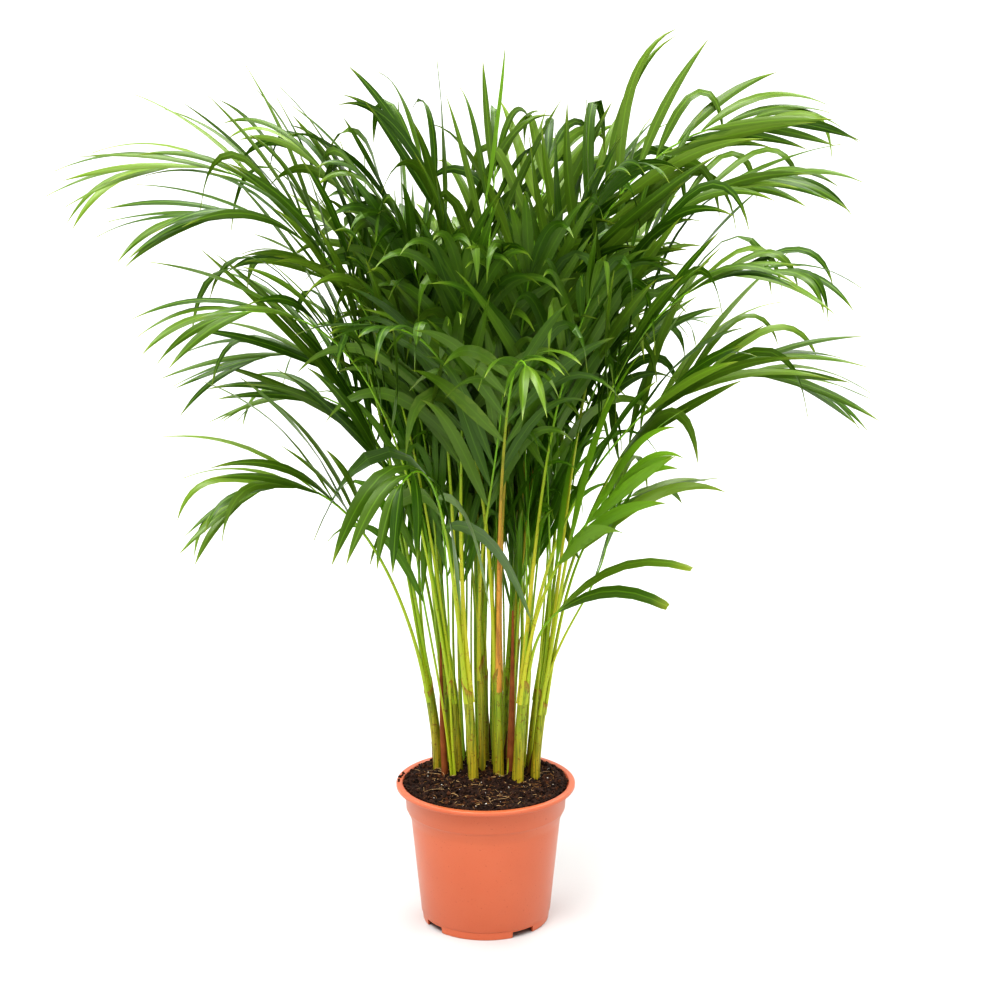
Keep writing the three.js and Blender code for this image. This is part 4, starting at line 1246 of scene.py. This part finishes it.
def leaflet_bend(frond, place, hand, settings, random):
    """Aim angles, length, width, droop, twist and sweep of a leaflet by its share of the bearing part."""
    young = frond.pairs == 1
    spread = 0.25 if young else 0.5 if frond.slope > CLOSING_SLOPE else 1
    # An arching frond lets its leaflets hang, and a steep one holds them up.
    held = min(1.0, max(0.0, (frond.slope + 15) / 50))
    swell = min(1, 0.9 + 0.1 * place / 0.28)
    taper = 1 - 0.5 * max(0, (place - 0.36) / 0.64)
    scatter = random.uniform(-1, 1, 6)
    folds = random.random() < FOLDED_SHARE
    angle = spread * (settings.first_angle + (settings.last_angle - settings.first_angle) * place)
    lift = settings.first_lift + (settings.last_lift - settings.first_lift) * place
    fall = settings.droop * (2.5 + 0.5 * held + (1.2 + held) * scatter[4])
    droop = (1.3, 1.3) if young else (7.5 + 2.5 * scatter[4], 4) if folds else (fall, 1.5 + 0.2 * held)
    if frond.slope < HANGING_SLOPE and frond.width > HANGING_WIDTH:
        angle, droop = angle + 16, (3.2 + scatter[4], 0.9)
    if frond.slope > STIFF_SLOPE and frond.width > STIFF_WIDTH:
        angle, droop = angle * 0.8, (0.9 + 0.5 * scatter[4], 1.6)
    return (
        math.radians(angle + ANGLE_SCATTER * scatter[0]),
        math.radians(lift + LIFT_SCATTER * scatter[1]),
        frond.leaflet * swell * taper * (1 + LENGTH_SCATTER * scatter[2]),
        frond.width / 2 * (1 - 0.3 * place) * (1 + WIDTH_SCATTER * scatter[3]),
        droop,
        hand * 0.5 + 0.9 * scatter[5],
        settings.forward * (2 + 2.2 * (1 - held)),
    )


def add_leaflets(bundle, frond, line, templates, settings, random, bare):
    """Both rows of leaflets beyond the bare share of the midrib, and the pair at its end."""
    blade, faces = templates["blunt" if frond.pairs == 1 else "pointed"]
    below = np.array([np.mean([blade[corner, 1] for corner in face]) > 0.1 for face in faces], float)
    count = frond.pairs
    base_tone = random.uniform(0.0, 0.5)
    spots = [(i + 0.35) / count for i in range(count)]
    rows = [(hand, spot + (0.2 / count if hand > 0 else 0)) for spot in spots for hand in (1, -1)]
    rows += [(1, 1.0), (-1, 1.0)] if frond.pairs > 1 else []
    for hand, spot in rows:
        angle, lift, reach, half, droop, twist, sweep = leaflet_bend(frond, spot, hand, settings, random)
        if spot == 1.0:
            angle, reach = math.radians(9), frond.leaflet * 0.5
        along = bare + (1 - bare) * spot
        points, tangents, sides, normals = midrib_frames(frond, line, [along])
        # In a frond that is rolled over, the row that stands up leans out, and the other is held up.
        lift -= LEAN * sides[0][2] * hand
        out = sides[0] * hand * math.cos(lift) + normals[0] * math.sin(lift)
        aim = tangents[0] * math.cos(angle) + out * math.sin(angle)
        rib_width, rib_height = midrib_widths(frond, np.array([along]))
        root = points[0] + out * 0.6 * min(rib_width[0], rib_height[0])
        ahead = tangents[0] * sweep * (spot < 1)
        bent = blade_points(blade, root, aim, ahead, normals[0], (reach, half), droop, twist, FOLD)
        tone = np.clip(base_tone + random.normal(0, 0.24), 0, 1)
        places = np.stack([blade[:, 0] * half, blade[:, 2], np.full(len(blade), tone)], axis=1)
        bundle.add(bent, faces, 0, places, below)


def add_spear(bundle, frond, line, templates):
    """The unopened leaf: one long blade folded shut."""
    blade, faces = templates["pointed"]
    points, tangents, _, normals = midrib_frames(frond, line, [0.98])
    bent = blade_points(
        blade,
        points[0],
        tangents[0],
        tangents[0],
        normals[0],
        (frond.leaflet * 0.58, frond.width * 0.55),
        (0.04, 1.0),
        0.2,
        1.2,
    )
    places = np.stack([blade[:, 0] * frond.width / 2, blade[:, 2], np.full(len(blade), 0.3)], axis=1)
    bundle.add(bent, faces, 0, places)


class PALM_OT_fronds(bpy.types.Operator):
    """Builds every frond: its petiole and midrib, and its leaflets in two rows"""

    bl_idname = "palm.fronds"
    bl_label = "Fronds"

    def execute(self, context):
        settings = context.scene.palm_fronds
        templates = {"pointed": leaflet_template(LEAFLET_OUTLINE), "blunt": leaflet_template(BLUNT_OUTLINE)}
        stem, stem_faces = stem_template(*FROND_STEM)
        grown = leaf_skin("grown_palm_leaf", (*settings.leaf, 1.0), "#92AE40", "#A6D41C", 0.17)
        young = leaf_skin("young_palm_leaf", (*settings.young_leaf, 1.0), "#96C040", "#B4DA3C", 0.42)
        rib = petiole_skin()
        for number, frond in enumerate(FRONDS, 1):
            random = np.random.default_rng(FROND_SEED + number)
            line = midrib_line(frond, settings)
            bundle = Bundle()
            add_midrib(bundle, frond, line, stem, stem_faces)
            if frond.pairs:
                bare = settings.young_petiole if frond.pairs == 1 else settings.petiole
                add_leaflets(bundle, frond, line, templates, settings, random, bare)
            else:
                add_spear(bundle, frond, line, templates)
            light = number in YOUNG
            skins = [young if light else grown, rib]
            piece = bundle.piece(f"palm_frond_{number:02d}", skins, ["blade", "stem"])
            smooth(piece, 35)
            dress(piece, "young_frond" if light else "frond", f"frond_{number:02d}")
        return {"FINISHED"}


def inner_shoots(random):
    """Slender young fronds, nearly upright in the clump, each with its foot in the soil, if any."""
    feet = [(number, None) for number in range(1, len(CANES) + 1) for _ in range(SHOOTS_ON_EACH)]
    while len(feet) < len(CANES) * SHOOTS_ON_EACH + SUCKERS:
        foot = (random.uniform(-54, 58), random.uniform(-8, 80))
        clear = min(math.dist(foot, cane.foot) - cane.foot_radius for cane in CANES)
        if clear > 4 and math.hypot((foot[0] - 2) / 58, (foot[1] - 36) / 46) < 1:
            feet.append((2, foot))
    for number, foot in feet:
        near = np.array(foot or CANES[number - 1].mouth[:2])
        end = near * random.uniform(1.2, 1.8) + random.uniform(-24, 24, 2)
        end = (*end, random.uniform(450, 660))
        pairs = int(random.integers(2, 4))
        size = random.uniform(140, 210)
        slope = random.uniform(74, 85)
        shape = (slope, random.uniform(-60, 60), pairs, size)
        shape += (random.uniform(8, 11.5), random.uniform(0, 0.45))
        yield foot and (*foot, SOIL_FOOT), Frond(number, random.uniform(0, 360), end, *shape)


class PALM_OT_shoots(bpy.types.Operator):
    """Builds the slender young fronds that stand among the petioles"""

    bl_idname = "palm.shoots"
    bl_label = "Inner shoots"

    def execute(self, context):
        settings = context.scene.palm_fronds
        random = np.random.default_rng(SHOOT_SEED)
        templates = {"pointed": leaflet_template(LEAFLET_OUTLINE)}
        stem, stem_faces = stem_template(*SHOOT_STEM)
        skins = [
            leaf_skin("inner_palm_leaf", (*settings.inner_leaf, 1.0), "#8FB03A", "#A6D41C", 0.42),
            petiole_skin(),
        ]
        bundle = Bundle()
        for foot, frond in inner_shoots(random):
            line = midrib_line(frond, settings, foot)
            add_midrib(bundle, frond, line, stem, stem_faces)
            add_leaflets(bundle, frond, line, templates, settings, random, SHOOT_BARE)
        piece = bundle.piece("inner_shoots", skins, ["blade", "stem"])
        smooth(piece, 35)
        dress(piece, "frond")
        return {"FINISHED"}


# ---------------------------------------------------------------- stage


SENSOR_WIDTH = 36


def soft_light(name, place, spread, power):
    """A wide, even light from far off, so that the floor stays evenly white; spread is in degrees."""
    data = bpy.data.lights.new(name, "SUN")
    data.angle = math.radians(spread)
    data.energy = power
    light = bpy.data.objects.new(name, data)
    light.location = place
    light.rotation_euler = (-Vector(place)).to_track_quat("-Z", "Y").to_euler()
    bpy.context.scene.collection.objects.link(light)


def pale_floor():
    """Matt white paint, so that the floor only takes the soft shadow."""
    material, tree = new_material("matt_white_floor")
    spot = add_node(tree, "ShaderNodeTexCoord").outputs["Object"]
    clouds = add_node(tree, "ShaderNodeTexNoise", {"Vector": spot, "Scale": 3.0})
    body = painted(tree, linear("#C2C2C1"), ((clouds.outputs["Fac"], None, "#C5C5C5"),))
    surfaced(tree, {"Base Color": body, "Roughness": 0.9})
    return material


class PALM_OT_stage(bpy.types.Operator):
    """Builds the pale floor, the soft lights and the camera"""

    bl_idname = "palm.stage"
    bl_label = "Stage"

    def execute(self, context):
        stage = context.scene.palm_stage
        deselect()
        bpy.ops.mesh.primitive_circle_add(vertices=128, radius=stage.floor_radius, fill_type="NGON")
        floor = bpy.context.object
        floor.name = "pale_floor"
        floor.data.materials.append(pale_floor())
        world = bpy.data.worlds.new("white_studio")
        world.use_nodes = True
        # The walls are white and the ceiling is greyer, so that leaves shade one another.
        tree = world.node_tree
        way = add_node(tree, "ShaderNodeTexCoord").outputs["Generated"]
        height = add_node(tree, "ShaderNodeSeparateXYZ", {"Vector": way}).outputs["Z"]
        inputs = {"Value": height, "From Min": 0.055, "From Max": 0.16, "To Min": 1.03, "To Max": 0.56}
        tint = add_node(tree, "ShaderNodeMapRange", inputs)
        tree.nodes["Background"].inputs["Color"].default_value = (1, 1, 1, 1)
        tree.links.new(tint.outputs["Result"], tree.nodes["Background"].inputs["Strength"])
        context.scene.world = world
        context.scene.view_settings.view_transform = "Standard"
        context.scene.view_settings.look = "High Contrast"
        # Four wide lights from high up, so that no shadow darkens the floor much.
        soft_light("key_light", (-1.1, -1.7, 3.3), 30, 1.7)
        soft_light("fill_light", (1.5, -1.3, 3.2), 36, 1.0)
        soft_light("back_light", (1.2, 1.9, 3.3), 36, 1.1)
        soft_light("side_light", (-1.9, 1.1, 3.1), 36, 0.9)
        camera_data = bpy.data.cameras.new("camera")
        camera_data.lens = stage.lens
        camera_data.sensor_width = SENSOR_WIDTH
        camera = bpy.data.objects.new("camera", camera_data)
        camera.location = (stage.camera_side, -stage.camera_distance, stage.camera_height)
        camera.rotation_euler = (math.radians(90 - stage.tilt), 0, 0)
        context.scene.collection.objects.link(camera)
        context.scene.camera = camera
        return {"FINISHED"}


# ---------------------------------------------------------------- panel and registration


class PALM_PT_panel(bpy.types.Panel):
    """Lists the settings and the operators of the palm"""

    bl_label = "Potted Palm"
    bl_idname = "PALM_PT_panel"
    bl_space_type = "VIEW_3D"
    bl_region_type = "UI"
    bl_category = "Palm"

    def draw(self, context):
        for group, operators in PARTS:
            box = self.layout.box()
            settings = getattr(context.scene, group, None)
            for name in settings.__annotations__ if settings else ():
                box.prop(settings, name)
            for operator in operators:
                box.operator(operator)


PARTS = (
    ("palm_pot", ("palm.pot",)),
    ("palm_soil", ("palm.soil",)),
    ("palm_canes", ("palm.canes", "palm.dry_sheaths")),
    ("palm_fronds", ("palm.fronds", "palm.shoots")),
    ("palm_stage", ("palm.stage",)),
)

GROUPS = {
    "palm_pot": PALM_PG_pot,
    "palm_soil": PALM_PG_soil,
    "palm_canes": PALM_PG_canes,
    "palm_fronds": PALM_PG_fronds,
    "palm_stage": PALM_PG_stage,
}

CLASSES = (
    *GROUPS.values(),
    PALM_OT_pot,
    PALM_OT_soil,
    PALM_OT_canes,
    PALM_OT_dry_sheaths,
    PALM_OT_fronds,
    PALM_OT_shoots,
    PALM_OT_stage,
    PALM_PT_panel,
)


def register():
    """Registers the classes and hangs the settings on the scene."""
    for item in CLASSES:
        bpy.utils.register_class(item)
    for name, group in GROUPS.items():
        setattr(bpy.types.Scene, name, PointerProperty(type=group))


def unregister():
    """Takes the settings and the classes away again."""
    for name in GROUPS:
        delattr(bpy.types.Scene, name)
    for item in reversed(CLASSES):
        bpy.utils.unregister_class(item)


def main():
    """Builds the whole palm."""
    register()
    bpy.ops.palm.stage()
    bpy.ops.palm.pot()
    bpy.ops.palm.soil()
    bpy.ops.palm.canes()
    bpy.ops.palm.dry_sheaths()
    bpy.ops.palm.fronds()
    bpy.ops.palm.shoots()


if __name__ == "__main__":
    main()
